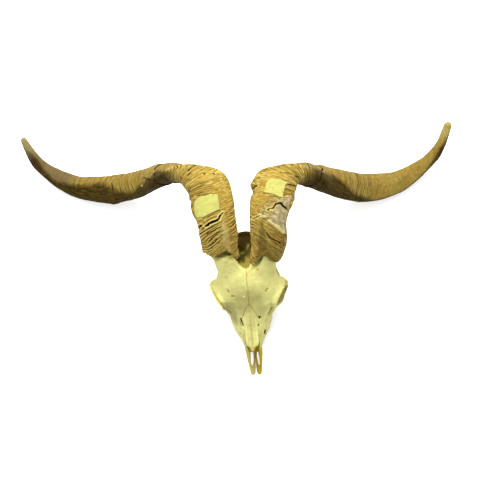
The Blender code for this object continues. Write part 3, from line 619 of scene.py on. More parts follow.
def ball(form, centre, radii, turn_x=0.0, pair=True):
    """Adds an ellipsoid, tilted about the x axis by some degrees, and its twin on the other side."""
    for side in (1, -1) if pair else (1,):
        place = (
            Matrix.Diagonal((side * MM, MM, MM, 1))
            @ Matrix.Translation(Vector(centre))
            @ Matrix.Rotation(radians(turn_x), 4, "X")
            @ Matrix.Diagonal((*radii, 1))
        )
        bmesh.ops.create_uvsphere(form, u_segments=32, v_segments=18, radius=1.0, matrix=place)


def finish_mesh(form, name, shown=True):
    """Turns a bmesh into an object whose faces point out."""
    bmesh.ops.recalc_face_normals(form, faces=form.faces)
    mesh = bpy.data.meshes.new(name)
    form.to_mesh(mesh)
    form.free()
    made = bpy.data.objects.new(name, mesh)
    bpy.context.scene.collection.objects.link(made)
    made.hide_render = not shown
    return made


def lofted(name, rings, shown=True):
    """Object with one closed body through rings of points."""
    form = bmesh.new()
    loft(form, rings)
    return finish_mesh(form, name, shown)


def drop_loose_parts(mesh):
    """Keeps the largest closed surface of a mesh."""
    edges = np.zeros(len(mesh.edges) * 2, np.int64)
    mesh.edges.foreach_get("vertices", edges)
    a, b = edges.reshape(-1, 2).T
    label = np.arange(len(mesh.vertices))
    while True:
        lowest = np.minimum(label[a], label[b])
        fresh = label.copy()
        np.minimum.at(fresh, a, lowest)
        np.minimum.at(fresh, b, lowest)
        fresh = fresh[fresh]
        if np.array_equal(fresh, label):
            break
        label = fresh
    names, sizes = np.unique(label, return_counts=True)
    if len(names) == 1:
        return
    keep = names[np.argmax(sizes)]
    form = bmesh.new()
    form.from_mesh(mesh)
    bmesh.ops.delete(form, geom=[v for v in form.verts if label[v.index] != keep], context="VERTS")
    form.to_mesh(mesh)
    form.free()


def bake(obj, largest_only=True):
    """Replaces an object's modifiers by their result, and keeps its largest closed surface."""
    graph = bpy.context.evaluated_depsgraph_get()
    mesh = bpy.data.meshes.new_from_object(obj.evaluated_get(graph))
    obj.modifiers.clear()
    obj.data = mesh
    if largest_only:
        drop_loose_parts(mesh)


def cut(obj, cutter):
    change = obj.modifiers.new("cut", "BOOLEAN")
    change.operation = "DIFFERENCE"
    change.solver = "MANIFOLD"
    change.object = cutter


def fuse(obj, voxel, rounds):
    """Melts overlapping bodies into one skin and softens the creases between them."""
    melt = obj.modifiers.new("melt", "REMESH")
    melt.mode = "VOXEL"
    melt.voxel_size = voxel * MM
    soften = obj.modifiers.new("soften", "SMOOTH")
    soften.factor = 0.5
    soften.iterations = rounds


def mesh_points(obj):
    """Vertices of an object in millimetres and its normals."""
    count = len(obj.data.vertices)
    points = np.zeros(count * 3)
    obj.data.vertices.foreach_get("co", points)
    normals = np.zeros(count * 3)
    obj.data.vertex_normals.foreach_get("vector", normals)
    return points.reshape(-1, 3) / MM, normals.reshape(-1, 3)


def move_points(obj, points):
    obj.data.vertices.foreach_set("co", (points * MM).ravel())
    obj.data.update()


def relaxed(obj, points, rounds, share=1.0):
    """Vertices after each has moved by a share toward the middle of its neighbours, several times."""
    edges = np.zeros(len(obj.data.edges) * 2, np.int64)
    obj.data.edges.foreach_get("vertices", edges)
    a, b = edges.reshape(-1, 2).T
    count = len(points)
    neighbours = np.bincount(a, minlength=count) + np.bincount(b, minlength=count)
    for _ in range(rounds):
        total = [np.bincount(a, points[b, i], count) + np.bincount(b, points[a, i], count) for i in range(3)]
        points = points + share * (np.stack(total, axis=1) / neighbours[:, None] - points)
    return points


def hollowness(obj, rounds):
    """How far each vertex lies under the surface that is left when the mesh is smoothed, in millimetres."""
    points, normals = mesh_points(obj)
    return np.sum((relaxed(obj, points, rounds) - points) * normals, axis=1)


def keep_value(obj, name, values):
    """Stores one number for each vertex, which the material reads by its name."""
    made = obj.data.attributes.new(name, "FLOAT", "POINT")
    made.data.foreach_set("value", np.asarray(values, np.float32))


def face_ring(row, lean=0.0):
    """Cross-section of the face at one row of FACE, leaning back with height."""
    back, roof, *levels, palate = row
    right = [(x, z) for x, z in levels]
    points = [(0, roof)] + right + [(0, palate)] + [(-x, z) for x, z in reversed(right)]
    return [(x, back + lean * (z - palate), z) for x, z in points]


def roof_point(share, back, under=0.0):
    """Point of the forehead at a share of its half width, on its outer face or some depth under it."""
    half = value(FOREHEAD_HALF, back)
    drop = value(FOREHEAD_DROP, back)
    height = value(ROOF, back) - drop * abs(share) ** 2.2
    return (half * share, back, height - under * (1 - 0.25 * share**2))


def forehead(form):
    shares = np.linspace(-1, 1, 25)
    rings = []
    for back in np.linspace(97, 209, 57):
        top = [roof_point(s, back) for s in shares]
        bottom = [roof_point(s * 0.985, back, FOREHEAD_THICK) for s in shares[::-1]]
        rings.append(top + bottom)
    loft(form, rings)


def orbit_rim(form):
    """Thick rim round each orbit."""
    rings = []
    for i in range(49):
        angle = tau * i / 48
        centre = np.array(ORBIT_CENTRE + cos(angle) * ORBIT_LONG + sin(angle) * ORBIT_HIGH)
        outward = unit(np.array(cos(angle) * ORBIT_LONG.normalized() + sin(angle) * ORBIT_HIGH.normalized()))
        thick = ORBIT_THICK + 0.8 * cos(angle)
        rings.append(oval(centre, outward * thick, np.array(ORBIT_OUT) * ORBIT_THICK))
    loft_pair(form, rings)


def orbit_funnel(form, levels):
    """Adds a body along each orbit. levels are how far outward each of its rings lies and how large it is."""
    rings = []
    for out, size in levels:
        centre = np.array(ORBIT_CENTRE + ORBIT_OUT * out)
        rings.append(oval(centre, np.array(ORBIT_LONG) * size, np.array(ORBIT_HIGH) * size, 32))
    loft_pair(form, rings)


def cranium_masses(form):
    """Forehead, orbits, cheekbones, braincase and the base of the skull."""
    forehead(form)
    orbit_rim(form)
    orbit_funnel(form, ORBIT_CUP)
    bar(form, ((0, 112, 62), (0, 135, 72), (0, 160, 82), (0, 182, 88)),
        ((24, 17), (24, 22), (25, 26), (31, 28)), sides=24, pair=False)
    ball(form, (0, 207, 80), (36, 38, 36), turn_x=-20, pair=False)
    ball(form, (0, 224, 68), (35, 19, 30), pair=False)
    crest = ((-38, 214, 58), (-35, 224, 72), (-26, 235, 87), (0, 242, 96),
             (26, 235, 87), (35, 224, 72), (38, 214, 58))
    bar(form, crest, ((4.5, 4.5),) * 7, up=(0, 1, 0.3), pair=False)
    ball(form, (0, 240, 88), (6, 5, 10), pair=False)
    ball(form, (29, 216, 70), (9, 13, 16))
    bar(form, ((57, 147, 57), (50, 129, 53), (38, 119, 48), (27, 104, 42)),
        ((5, 6), (6.5, 7), (7, 9), (8, 10)))
    bar(form, ((57, 150, 60), (51, 166, 60), (45.5, 180, 61), (41, 194, 63), (34, 207, 66)),
        ((3.4, 6.5), (3.2, 6.5), (3.2, 6), (3.8, 6), (5, 8)))
    ball(form, (36, 206, 60), (6, 11, 7))
    bar(form, ((25, 168, 92), (27, 184, 106), (30, 200, 120), (32, 214, 132)),
        ((23, 17), (22, 17), (23, 16), (24, 16)), sides=24)
    ball(form, (13, 233, 47), (9.5, 10, 13), turn_x=15)
    ball(form, (0, 224, 47), (23, 12, 15), pair=False)
    bar(form, ((31, 222, 60), (33, 228, 42), (31, 230, 25), (29, 229, 10)),
        ((5.5, 8), (4.5, 7), (3.5, 5.5), (2.2, 3)), up=(0, 1, 0))
    ball(form, (19, 207, 38), (8, 14, 12), turn_x=-15)
    bar(form, ((26, 211, 49), (39, 216, 55)), ((6, 6), (5, 5)))
    bar(form, ((0, 146, 54), (0, 172, 46), (0, 200, 41), (0, 228, 43)),
        ((11, 8), (11, 6.5), (13, 6), (16, 7)), pair=False)
    bar(form, ((12, 130, 30), (12, 146, 32), (13, 160, 37), (15, 174, 45)),
        ((2.0, 13), (2.0, 12), (2.0, 9), (2.4, 5)))


def face_masses(form):
    """Upper jaw with its swollen cheek."""
    loft(form, [face_ring(row, lean) for row, lean in zip(FACE, FACE_LEAN)])
    ball(form, (29, 102, 38), (6, 15, 8))
    bar(form, ((0, 39, 21.5), (0, 62, 27)), ((9.0, 2.4), (12, 5)), pair=False)


def skull_openings(form):
    """Everything that is hollowed out of the bone: orbits, nose, throat, palate, spine and small canals."""
    orbit_funnel(form, ORBIT_HOLLOW)
    ball(form, (47, 172, 73), (12, 17, 11))
    bar(form, ((0, 30, 33), (0, 50, 38), (0, 75, 44), (0, 104, 52)),
        ((9.5, 9), (9.8, 11), (11, 12.5), (9, 10)), sides=20, pair=False)
    bar(form, ((0, 30, 4), (0, 62, 6), (0, 90, 6), (0, 125, 7), (0, 160, 12)),
        ((11, 14), (12, 14), (16, 15), (19, 15), (17, 15)), sides=24, pair=False)
    bar(form, ((0, 118, 30), (0, 140, 34), (0, 158, 34), (0, 178, 24)),
        ((8, 7), (9, 11), (10, 10), (11, 10)), sides=20, pair=False)
    bar(form, ((0, 206, 62), (0, 226, 60), (0, 256, 57)), ((9, 8), (11, 10.5), (12, 11)),
        sides=24, pair=False)
    bar(form, ((30, 212, 51), (47, 219, 58)), ((2.6, 2.6), (3.0, 3.0)), sides=8)
    bar(form, ((17, 86, 41), (22, 72, 38), (25, 60, 37)), ((1.6, 2.0), (2.2, 2.8), (3.0, 3.4)), sides=8)
    # The slit and the small holes beside the nasal bones.
    bar(form, ((-16.6, 101.8, 72), (-14.6, 96.4, 69), (-12.8, 90, 65)),
        ((0.9, 9), (1.5, 9), (1.0, 9)), pair=False)
    bar(form, ((12.2, 104.4, 80), (15.3, 100.2, 75), (15.6, 99.6, 72)),
        ((0.8, 3), (1.3, 5), (1.3, 6)), pair=False)
    bar(form, ((17.9, 103.6, 79), (15.5, 100.2, 75)), ((0.8, 2.6), (1.2, 5)), pair=False)
    ball(form, (12.6, 87.3, 68), (0.9, 1.6, 5), pair=False)


def nasal_rings(side, grow=0.0):
    """Cross-sections of one nasal bone, arched over the nose."""
    rings = []
    places = np.linspace(NASAL_HALF[0][0], NASAL_HALF[-1][0], 90)
    places[0] -= grow
    places[-1] += grow
    for back in places:
        inner = NASAL_INNER - grow
        outer = value(NASAL_HALF, back) + 2.5 * grow
        level = value(ROOF, back) + 0.6
        top, bottom = [], []
        for share in np.linspace(0, 1, 22):
            x = inner + (outer - inner) * share
            arch = 0.2 * min(outer, 8.0) * sin(pi * (0.15 + 0.75 * share)) - 4.2 * (x / 14) ** 3
            top.append((side * x, back, level + arch + grow))
            bottom.append((side * x, back, level + arch - NASAL_THICK - grow))
        rings.append(top + bottom[::-1])
    return rings


def premaxilla(form, side, grow=0.0):
    """One incisive bone: a thick tip, a thin outer bar up to the nasal bone and a thin inner bar."""
    for path, sizes in INCISIVE_BARS:
        line = np.array(path, float) * (side, 1, 1)
        line[:, 0] += SNOUT_TURN * np.clip((58 - line[:, 1]) / 20, 0, 1)
        line[-1] += unit(line[-1] - line[-2]) * grow * 2
        bar(form, line, [(a + grow, b + grow) for a, b in sizes], pair=False)
    place = (Matrix.Translation((SNOUT_TURN * MM, 0, 0)) @ Matrix.Diagonal((side * MM, MM, MM, 1))
             @ Matrix.Translation((5.5, 6, 10.5))
             @ Matrix.Diagonal((4.5 + grow, 7.0 + grow, 4.0 + grow, 1)))
    bmesh.ops.create_uvsphere(form, u_segments=24, v_segments=14, radius=1.0, matrix=place)


def tooth_rings(back, length, width, side):
    """Outline of one cheek tooth at several heights: two lobes with upright ribs on the cheek side."""
    middle = value(TOOTH_ROW_LINE, back)
    rings = []
    for height, size in TOOTH_LEVELS:
        ring = []
        for angle in tau * np.arange(48) / 48:
            out, along = cos(angle), sin(angle)
            x = width / 2 * size * np.sign(out) * abs(out) ** 0.6
            y = length / 2 * size * np.sign(along) * abs(along) ** 0.7
            if out > 0:
                x += (0.7 * cos(2 * tau * y / length) - 0.3) * soft(out, 0, 0.5)
            else:
                x += 0.6 * cos(tau * y / length) * soft(-out, 0, 0.5)
            ring.append((side * (middle + x), back + y, height))
        rings.append(ring)
    return rings


def eased(directions, step):
    """Directions along a line, evened out so that a horn's cross-sections don't cut each other."""
    count = int(BEND_EASE / step) | 1
    weights = np.hanning(count + 2)[1:-1]
    padded = np.pad(directions, ((count // 2, count // 2), (0, 0)), mode="edge")
    return unit(np.stack([np.convolve(padded[:, i], weights, "valid") for i in range(3)], axis=1))


def make_horn(stations, side, root, pinch):
    """Everything that a place on a horn is worked out from, read at many distances."""
    places = np.array([s[0] for s in stations], float)
    lengths = np.concatenate([[0], np.cumsum(np.linalg.norm(np.diff(places, axis=0), axis=1))])
    knots = [(far, (*s[0], s[1], s[2], *s[3])) for far, s in zip(lengths, stations)]
    far = np.linspace(0, lengths[-1], 600)
    data = through(knots, far)
    line = data[:, :3]
    ahead = eased(unit(np.gradient(line, axis=0)), far[1])
    keel = data[:, 5:]
    keel = unit(keel - ahead * np.sum(keel * ahead, axis=1, keepdims=True))
    top = np.cross(ahead, keel) * side
    table = np.hstack([line, data[:, 3:5], ahead, keel, top])
    return {"side": side, "far": far, "length": lengths[-1], "table": table, "root": root, "pinch": pinch}


def horn_point(horn, far, angle, lift):
    """Places on a horn's surface. angle is in degrees, lift is how far each stands off the plain form."""
    data = np.stack([np.interp(far, horn["far"], column) for column in horn["table"].T], axis=1)
    line, wide, narrow = data[:, :3], data[:, 3], data[:, 4]
    ahead, keel, top = data[:, 5:8], data[:, 8:11], data[:, 11:]
    turn = np.radians(angle)
    toward_keel, around = np.cos(turn), np.sin(turn)
    corner = 1 + 0.05 * soft(far, 150, 240) * bell(angle - 272, 16)
    pinch = between(horn["pinch"], far) * np.clip(toward_keel, 0, 1) ** 2
    across = (wide + lift) * toward_keel * corner - pinch
    upward = (narrow + lift) * around * (1 - KEEL_SHARPNESS * toward_keel) * corner
    edge = through(horn["root"], angle) * np.clip(1 - far / ROOT_LENGTH, 0, 1)
    points = line + across[:, None] * keel + upward[:, None] * top + edge[:, None] * ahead
    points[:, 2] = np.maximum(points[:, 2], 0.0)
    return points


def ring_table(seed, length, spacing, depth, width):
    """Height and darkness along a line that random grooves cross. Their far sides are steeper."""
    random = np.random.default_rng(seed)
    at = np.arange(-80.0, length + 80.0, 0.1)
    height = np.zeros(len(at))
    dark = np.zeros(len(at))
    place = at[0]
    while place < at[-1]:
        place += random.uniform(*spacing)
        near = (at - place) / random.uniform(*width)
        shape = bell(np.where(near > 0, 1.8 * near, near), 1)
        deep = random.uniform(*depth)
        height -= deep * shape
        dark = np.maximum(dark, (deep / depth[1]) * shape)
    return at, height - height.mean(), dark


def knob_table(seed, length):
    """Height and darkness of a row of rounded knobs with a crack between each two."""
    random = np.random.default_rng(seed)
    at = np.arange(-20.0, length + 20.0, 0.1)
    height = np.zeros(len(at))
    dark = np.zeros(len(at))
    place = at[0]
    while place < at[-1]:
        size = random.uniform(*KNOB_SIZE)
        share = (at - place) / size
        here = (share >= 0) & (share < 1)
        height[here] = random.uniform(*KNOB_HEIGHT) * (1 - np.abs(2 * share[here] - 1) ** 3)
        crack = bell(at - place, random.uniform(*KNOB_CRACK))
        height -= KNOB_DEPTH * crack
        dark = np.maximum(dark, random.uniform(*KNOB_DARK) * crack)
        place += size
    return at, height, dark


def read_table(ring, table):
    at, height, dark = table
    return np.interp(ring, at, height), np.interp(ring, at, dark)


def unrolled(line):
    """Distance and angle pairs as places on the horn's face spread out flat, in millimetres."""
    return [(far, angle * ANGLE_WIDTH) for far, angle in line]


class Relief:
    """Fine forms of a horn's surface at many places, and the shares of paint that go with them."""

    def __init__(self, length, far, angle, marks):
        self.length, self.far, self.angle, self.marks = length, far, angle, marks
        turn = np.radians(angle)
        radius = PATTERN_RADIUS * (1 - 0.6 * soft(far, PATTERN_TAPER, self.length))
        self.straight = np.stack([radius * np.cos(turn), radius * np.sin(turn), far], axis=1)
        self.ring = self.ring_places(turn)
        self.grain = np.stack([self.straight[:, 0], self.straight[:, 1], self.ring], axis=1)
        self.ragged = self.shaken((5, 12, 1.3), (1.8, 24, 0.5))
        self.wrapped = np.where(angle < FIRST_ANGLE, angle + 360, angle)
        self.arm = soft(far, *ARM_START)
        self.valley = soft(self.depth_inside(self.ragged, "valley"), *VALLEY_EDGE)
        self.plain = within(angle, *PLAIN_ANGLES) * within(far, *PLAIN_REACH)
        self.grey = np.zeros(len(far))
        self.crest = np.zeros(len(far))
        self.add_rings()
        self.add_knobs()
        self.add_swells()
        self.add_cracks()
        self.add_steps()
        self.pale = np.maximum(marks["valley_pale"] * self.valley,
                               0.3 * soft(far, self.length - TIP_PALE[0], self.length - TIP_PALE[1]))
        self.add_dots()
        if "patch" in marks:
            self.add_patch()

    def lumps(self, size, number):
        return cloud(self.straight, size, self.marks["seed"] + number)

    def shaken(self, *shifts):
        """Places on the horn's face spread out flat, moved about by lumps of some size, seed and reach."""
        places = np.stack([self.far, self.angle * ANGLE_WIDTH], axis=1)
        for size, number, reach in shifts:
            places = places + wander(self.straight, size, self.marks["seed"] + number) * reach
        return places

    def depth_inside(self, places, key):
        return inside_distance(places, unrolled(self.marks[key]))

    def darken(self, share):
        self.dark = np.maximum(self.dark, share)

    def ring_places(self, turn):
        """Where each place lies along the horn, measured in growth rings, which run slanting round it."""
        slant = 60 * between(RING_SLANT, self.far) * np.cos(turn)
        bow = 6.0 * soft(self.far, *RING_BOW) * np.cos(turn - radians(60))
        return self.far + slant + bow + 1.3 * self.lumps(22, 0) + 0.35 * self.lumps(7, 1)

    def add_rings(self):
        """Growth rings of three kinds, each strong in its own part of the horn."""
        seed, marks = self.marks["seed"], self.marks
        tables = [ring_table(seed + i, self.length, *kind) for i, kind in enumerate(RING_KINDS, 2)]
        (bold, bold_dark), (middling, middling_dark), (fine, fine_dark) = (
            read_table(self.ring, table) for table in tables)
        patchy = np.clip(0.62 + 0.75 * cloud(self.grain * (0.28, 0.28, 1.0), 5, seed + 5), 0.08, 1.3)
        ridged = within(self.angle, *RIDGED_ANGLES) * (1 - soft(self.far, *RIDGED_END)) * marks["base_ridges"]
        on_bend = soft(self.far, *BEND_START) * (1 - self.arm)
        on_arm = self.arm * between(marks["arm_rings"], self.far)
        bold_share = ridged * (0.8 + 0.5 * patchy) + (0.18 * on_bend + on_arm) * patchy
        middling_share = ((0.35 + 0.3 * ridged + 0.65 * on_bend) * (1 - self.arm) + 0.5 * on_arm) * patchy
        quiet = (1 - 0.92 * self.valley) * (1 - 0.72 * self.plain)
        self.relief = bold * bold_share + middling * middling_share
        self.lift = (self.relief + fine * (0.75 + 0.25 * on_bend)) * quiet
        self.dark = bold_dark * np.clip(bold_share * 1.3, 0, 1.0)
        self.darken(middling_dark * np.clip(middling_share * 1.5, 0, 0.9))
        self.darken(0.6 * fine_dark * patchy)
        self.dark *= quiet
        self.relief = np.clip(self.relief, 0, 1) * quiet

    def add_knobs(self):
        """Row of knobs along the keel and the torn band beside it."""
        signed = (self.angle + 180) % 360 - 180
        away = np.abs(signed - between(KNOB_MIDDLE, self.far)) / between(KNOB_REACH, self.far)
        self.knobs = np.exp(-(away**4)) * (1 - soft(self.far, *KNOB_END))
        at = self.far + 1.6 * self.lumps(7, 6) + 0.9 * self.lumps(3, 29) + 0.14 * np.abs(signed - 10)
        self.knob, knob_dark = read_table(at, knob_table(self.marks["seed"] + 7, self.length))
        self.lift = self.lift * (1 - 0.6 * self.knobs) + 1.1 * self.knob * self.knobs
        self.dark *= 1 - 0.5 * self.knobs
        self.darken(self.knobs * knob_dark)
        band = within(self.angle, *BAND_ANGLES) * (1 - soft(self.far, *BAND_END))
        band *= np.clip(0.55 + 1.2 * self.lumps(5, 8), 0, 1)
        self.lift -= band
        self.darken(0.3 * band)

    def add_swells(self):
        """The hollow beside the keel, broad and small waves, and the swellings and dents of the marks."""
        self.lift -= VALLEY_DEPTH * self.valley
        self.lift += 0.8 * self.lumps(26, 9) + 0.4 * self.lumps(8, 10) + 0.14 * self.lumps(2.5, 11)
        for (far, angle), (long, wide), height in self.marks["bumps"]:
            aside = ((self.angle - angle + 180) % 360 - 180) / wide
            self.lift += height * bell(np.hypot((self.far - far) / long, aside), 1)

    def add_cracks(self):
        """Splits with raised lips, and single dark grooves."""
        for line, widths in self.marks["cracks"]:
            gap = line_distance(self.ragged, unrolled(line))
            half = through(widths, self.angle) * (0.85 + 0.3 * self.lumps(6, 14))
            crack = 1 - soft(gap, 0.55 * half, half)
            lip = (1 - soft(gap, half, half + 3.0)) * (1 - crack)
            self.lift += LIP_HEIGHT * lip - CRACK_DEPTH * crack
            # Painted highlight on the raised lips.
            self.crest = np.maximum(self.crest, 0.7 * lip)
            self.dark *= 1 - 0.7 * lip
            self.darken(crack)
        for line, strength in self.marks["strokes"]:
            stroke = strength * (1 - soft(line_distance(self.ragged, unrolled(line)), *STROKE_EDGE))
            self.lift -= STROKE_DEPTH * stroke
            self.darken(stroke)

    def add_steps(self):
        """Places where one ring stands off from the next."""
        for line, height, depth in self.marks["steps"]:
            edge = self.far - through(line, self.wrapped)
            edge += 1.3 * self.lumps(6, 15) + 0.6 * self.lumps(2.5, 26)
            notch = bell(edge, 1.7) * np.clip(0.75 + 0.7 * self.lumps(9, 16), 0.1, 1)
            self.lift += height * within(edge, (-0.4, 1.4), (4, 45)) - depth * notch
            self.darken(np.clip(depth, 0, 1) * notch)

    def add_dots(self):
        for far, angle, size in self.marks["dots"]:
            away = np.linalg.norm(self.ragged - (far, angle * ANGLE_WIDTH), axis=1)
            dot = 1 - soft(away, 0.4 * size, size)
            self.lift += DOT_HEIGHT * dot
            self.pale = np.maximum(self.pale, dot)
            self.dark *= 1 - dot

    def add_patch(self):
        """Weathered patch of loose grey flakes, with a pale ridge along its lower edge."""
        torn = self.shaken((8, 17, 2.2), (3, 19, 1.6))
        depth = self.depth_inside(torn, "patch")
        inside = soft(depth, -0.4, 0.4)
        flakes = 0.8 * self.lumps(7, 21) + 0.5 * self.lumps(3, 22)
        covered = inside * (1 - soft(self.lift, -2.0, -3.5))
        self.lift = self.lift * (1 - 0.75 * covered) + inside * (0.9 + 0.8 * np.round(flakes * 2) / 2)
        ash = soft(self.angle + 8 * self.lumps(9, 23) - 0.9 * np.abs(self.far - 84), 68, 88)
        self.grey = inside * (0.35 + 0.65 * ash)
        ridge = 1 - soft(line_distance(torn, unrolled(self.marks["ridge"])), *RIDGE_EDGE)
        self.lift += RIDGE_HEIGHT * ridge
        self.pale = np.maximum(self.pale, ridge)
        self.dark *= 1 - 0.85 * covered
        self.darken(0.6 * inside * sum(bell(flakes - level, width) for level, width in PATCH_SEAMS))
        # Painted shadow along the outside of the patch's edge, except at the ridge.
        self.darken(0.4 * bell(depth + 1.2, 1.1) * (1 - ridge))

    def paint(self):
        """Share of each paint, by the name under which the material reads it."""
        marks, far = self.marks, self.far
        # Painted shade on the arm's underside, from an angle that changes along the arm.
        under = self.wrapped - between(marks["under_from"], far)
        under += 9 * self.lumps(16, 30) + 4 * self.lumps(5, 31)
        # The same dark colour, as the marks ask, also covers the hollow beside the keel and the root's lower
        # face.
        low = soft(self.angle, 40, 56) * (1 - self.arm)
        low *= 1 - soft(far + 10 * self.lumps(14, 27), *LOW_SHADE_END)
        shade = np.maximum(self.valley * marks["valley_shade"], low * marks["low_shade"])
        # Painted highlights on the ridges between rings and on the tops of the knobs.
        crest = np.maximum(self.relief, 0.45 * soft(self.knob, 0.3, 0.9) * self.knobs) * (1 - self.dark)
        combed = self.arm * (1 - np.clip(1.6 * between(marks["arm_rings"], far), 0, 1))
        return {
            "groove": np.clip(self.dark, 0, 1),
            "shade": np.maximum(shade, self.arm * soft(under, -6, 26) * ARM_SHADE),
            "grey": self.grey,
            "pale": self.pale,
            "dull": soft(far + 25 * self.lumps(30, 28), *DULL_START) * marks["dull"],
            "crest": np.maximum(self.crest, crest),
            "knobs": self.knobs,
            # Painted shade over the whole arm.
            "arm": self.arm,
            "combed": combed,
            "ringed": (1 - combed) * (1 - 0.8 * self.plain),
        }


def tube_mesh(name, rings, ends, side):
    """Object of four-sided faces through rings of points, closed by a fan to a point at each end."""
    rows, columns = rings.shape[:2]
    index = np.arange(rows * columns).reshape(rows, columns)
    after = np.roll(index, -1, axis=1)
    quads = np.stack([index[:-1], after[:-1], after[1:], index[1:]], axis=-1).reshape(-1, 4)
    faces = quads[:, ::-side].tolist()
    for centre, row in ((rows * columns, index[0]), (rows * columns + 1, index[-1])):
        faces += [(int(row[j]), int(row[(j + 1) % columns]), centre) for j in range(columns)]
    mesh = bpy.data.meshes.new(name)
    mesh.from_pydata((np.vstack([rings.reshape(-1, 3), *ends]) * MM).tolist(), [], faces)
    form = bmesh.new()
    form.from_mesh(mesh)
    bpy.data.meshes.remove(mesh)
    return finish_mesh(form, name)


def horn_sheath(name, horn, marks):
    """Hollow-ended horn sheath, from the bottom of the hollow in its root to its tip."""
    angle = 360 * np.arange(HORN_COLUMNS) / HORN_COLUMNS
    grids = np.meshgrid(np.linspace(0, horn["length"], HORN_ROWS), angle, indexing="ij")
    all_far, all_angle = (grid.ravel() for grid in grids)
    relief = Relief(horn["length"], all_far, all_angle, marks)
    lift = relief.lift * (0.35 + 0.65 * soft(horn["length"] - all_far, 0, 90))
    lift -= 1.6 * (1 - soft(all_far, 0, 3.0)) ** 2
    rings = horn_point(horn, all_far, all_angle, lift).reshape(HORN_ROWS, HORN_COLUMNS, 3)

    inner = []
    for deep, thick in SHEATH_HOLLOW:
        inner.append(horn_point(horn, np.full(HORN_COLUMNS, deep), angle, np.full(HORN_COLUMNS, -thick)))
    last = horn["table"][-1]
    end, ahead = last[:3], last[5:8] * last[4]
    outer = [end + (rings[-1] - end) * size + ahead * reach for reach, size in SHEATH_TIP]
    all_rings = np.concatenate([np.array(inner), rings, np.array(outer)])
    made = tube_mesh(name, all_rings, (all_rings[0].mean(axis=0), end + ahead * TIP_REACH), horn["side"])

    before, past = len(inner) * HORN_COLUMNS, len(outer) * HORN_COLUMNS + 2
    for key, amount in relief.paint().items():
        root = HOLLOW_GROOVE if key == "groove" else 0.0
        tip = amount[-HORN_COLUMNS:].mean()
        keep_value(made, key, np.concatenate([np.full(before, root), amount, np.full(past, tip)]))
    grain = np.vstack([np.zeros((before, 3)), relief.grain, np.tile(relief.grain[-1], (past, 1))])
    stored = made.data.attributes.new("grain", "FLOAT_VECTOR", "POINT")
    stored.data.foreach_set("vector", grain.astype(np.float32).ravel())
    return made


def tape_label(name, horn, corners, marks, seed):
    """Thin strip of tape that follows the horn under it, slightly wrinkled and cut off unevenly."""
    outline = np.array(unrolled(corners))
    ends = zip(outline.min(axis=0) - 1, outline.max(axis=0) + 1)
    spans = [np.linspace(low, high, TAPE_ROWS) for low, high in ends]
    far, across = (grid.ravel() for grid in np.meshgrid(*spans, indexing="ij"))
    shift = np.random.default_rng(seed).uniform(-40, 40, 3)
    places = np.stack([far, across], axis=1)
    flat = np.pad(places, ((0, 0), (0, 1))) + shift
    kept = inside_distance(places + 1.1 * wander(flat, 7, seed), outline) > 0
    kept = kept.reshape(TAPE_ROWS, TAPE_ROWS)
    angle = across / ANGLE_WIDTH
    under = Relief(horn["length"], far, angle, marks).lift
    wrinkles = 0.35 * cloud(flat, 8, seed + 2) + 0.15 * cloud(flat, 3, seed + 3)
    lift = np.maximum(0.3 * under + 0.9 + wrinkles, under + TAPE_OFF)
    faces = [horn_point(horn, far, angle, lift + thick) for thick in (0, TAPE_THICK)]
    form = bmesh.new()
    made = {}

    def corner(level, i, j):
        if (level, i, j) not in made:
            made[level, i, j] = form.verts.new(Vector(faces[level][i * TAPE_ROWS + j]) * MM)
        return made[level, i, j]

    whole = kept[:-1, :-1] & kept[1:, :-1] & kept[:-1, 1:] & kept[1:, 1:]
    cells = {(i, j) for i, j in np.argwhere(whole).tolist()}
    for i, j in cells:
        for level in (0, 1):
            form.faces.new([corner(level, i + a, j + b) for a, b in ((0, 0), (1, 0), (1, 1), (0, 1))])
        for (a, b), (c, d), (e, f) in CELL_SIDES:
            if (i + a, j + b) not in cells:
                form.faces.new([corner(0, i + c, j + d), corner(0, i + e, j + f),
                                corner(1, i + e, j + f), corner(1, i + c, j + d)])
    return finish_mesh(form, name)


def horn_ring(horn, far, lift):
    """Ring round a horn at one distance, for the rooms that it needs."""
    angle = 360 * np.arange(ROOM_SIDES) / ROOM_SIDES
    return horn_point(horn, np.full(ROOM_SIDES, far), angle, np.full(ROOM_SIDES, lift))


def lip_cutter(horn, name):
    """Tube-shaped room for the wall of a horn sheath, which the bone core stays inside."""
    rings = []
    for far, lift in ((-ROOM_START, ROOM_REACH), (LIP_DEPTH, ROOM_REACH), (LIP_DEPTH, -LIP_THICK - ROOM_GAP),
                      (-ROOM_START, -LIP_THICK - ROOM_GAP)):
        rings.append(horn_ring(horn, max(far, 0.0), lift) + horn["table"][0, 5:8] * min(far, 0.0))
    form = bmesh.new()
    rows = new_rows(form, rings)
    join_rows(form, rows + rows[:1])
    return finish_mesh(form, name, shown=False)


def core_cutter(horn, name):
    """Room for all of a horn above the end of its bone core."""
    rings = [horn_ring(horn, far, 3.0) for far in np.linspace(LIP_DEPTH - 2, 150, 30)]
    return lofted(name, rings, shown=False)


def bare_core(points, horns):
    """Where the bone core shows below the edge of each horn's sheath."""
    core = np.zeros(len(points))
    for horn in horns:
        row = horn["table"][0]
        away = points - row[:3]
        toward_keel, upward = away @ row[8:11] / row[3], away @ row[11:] / row[4]
        turn = np.degrees(np.arctan2(upward, toward_keel)) % 360
        past = away @ row[5:8] - through(horn["root"], turn) + CORE_REACH[horn["side"]]
        band = soft(past + 2.0 * cloud(points, 5, 308), -0.8, 0.8)
        core = np.maximum(core, 0.5 * band * (np.hypot(toward_keel, upward) < CORE_RADIUS))
    return core


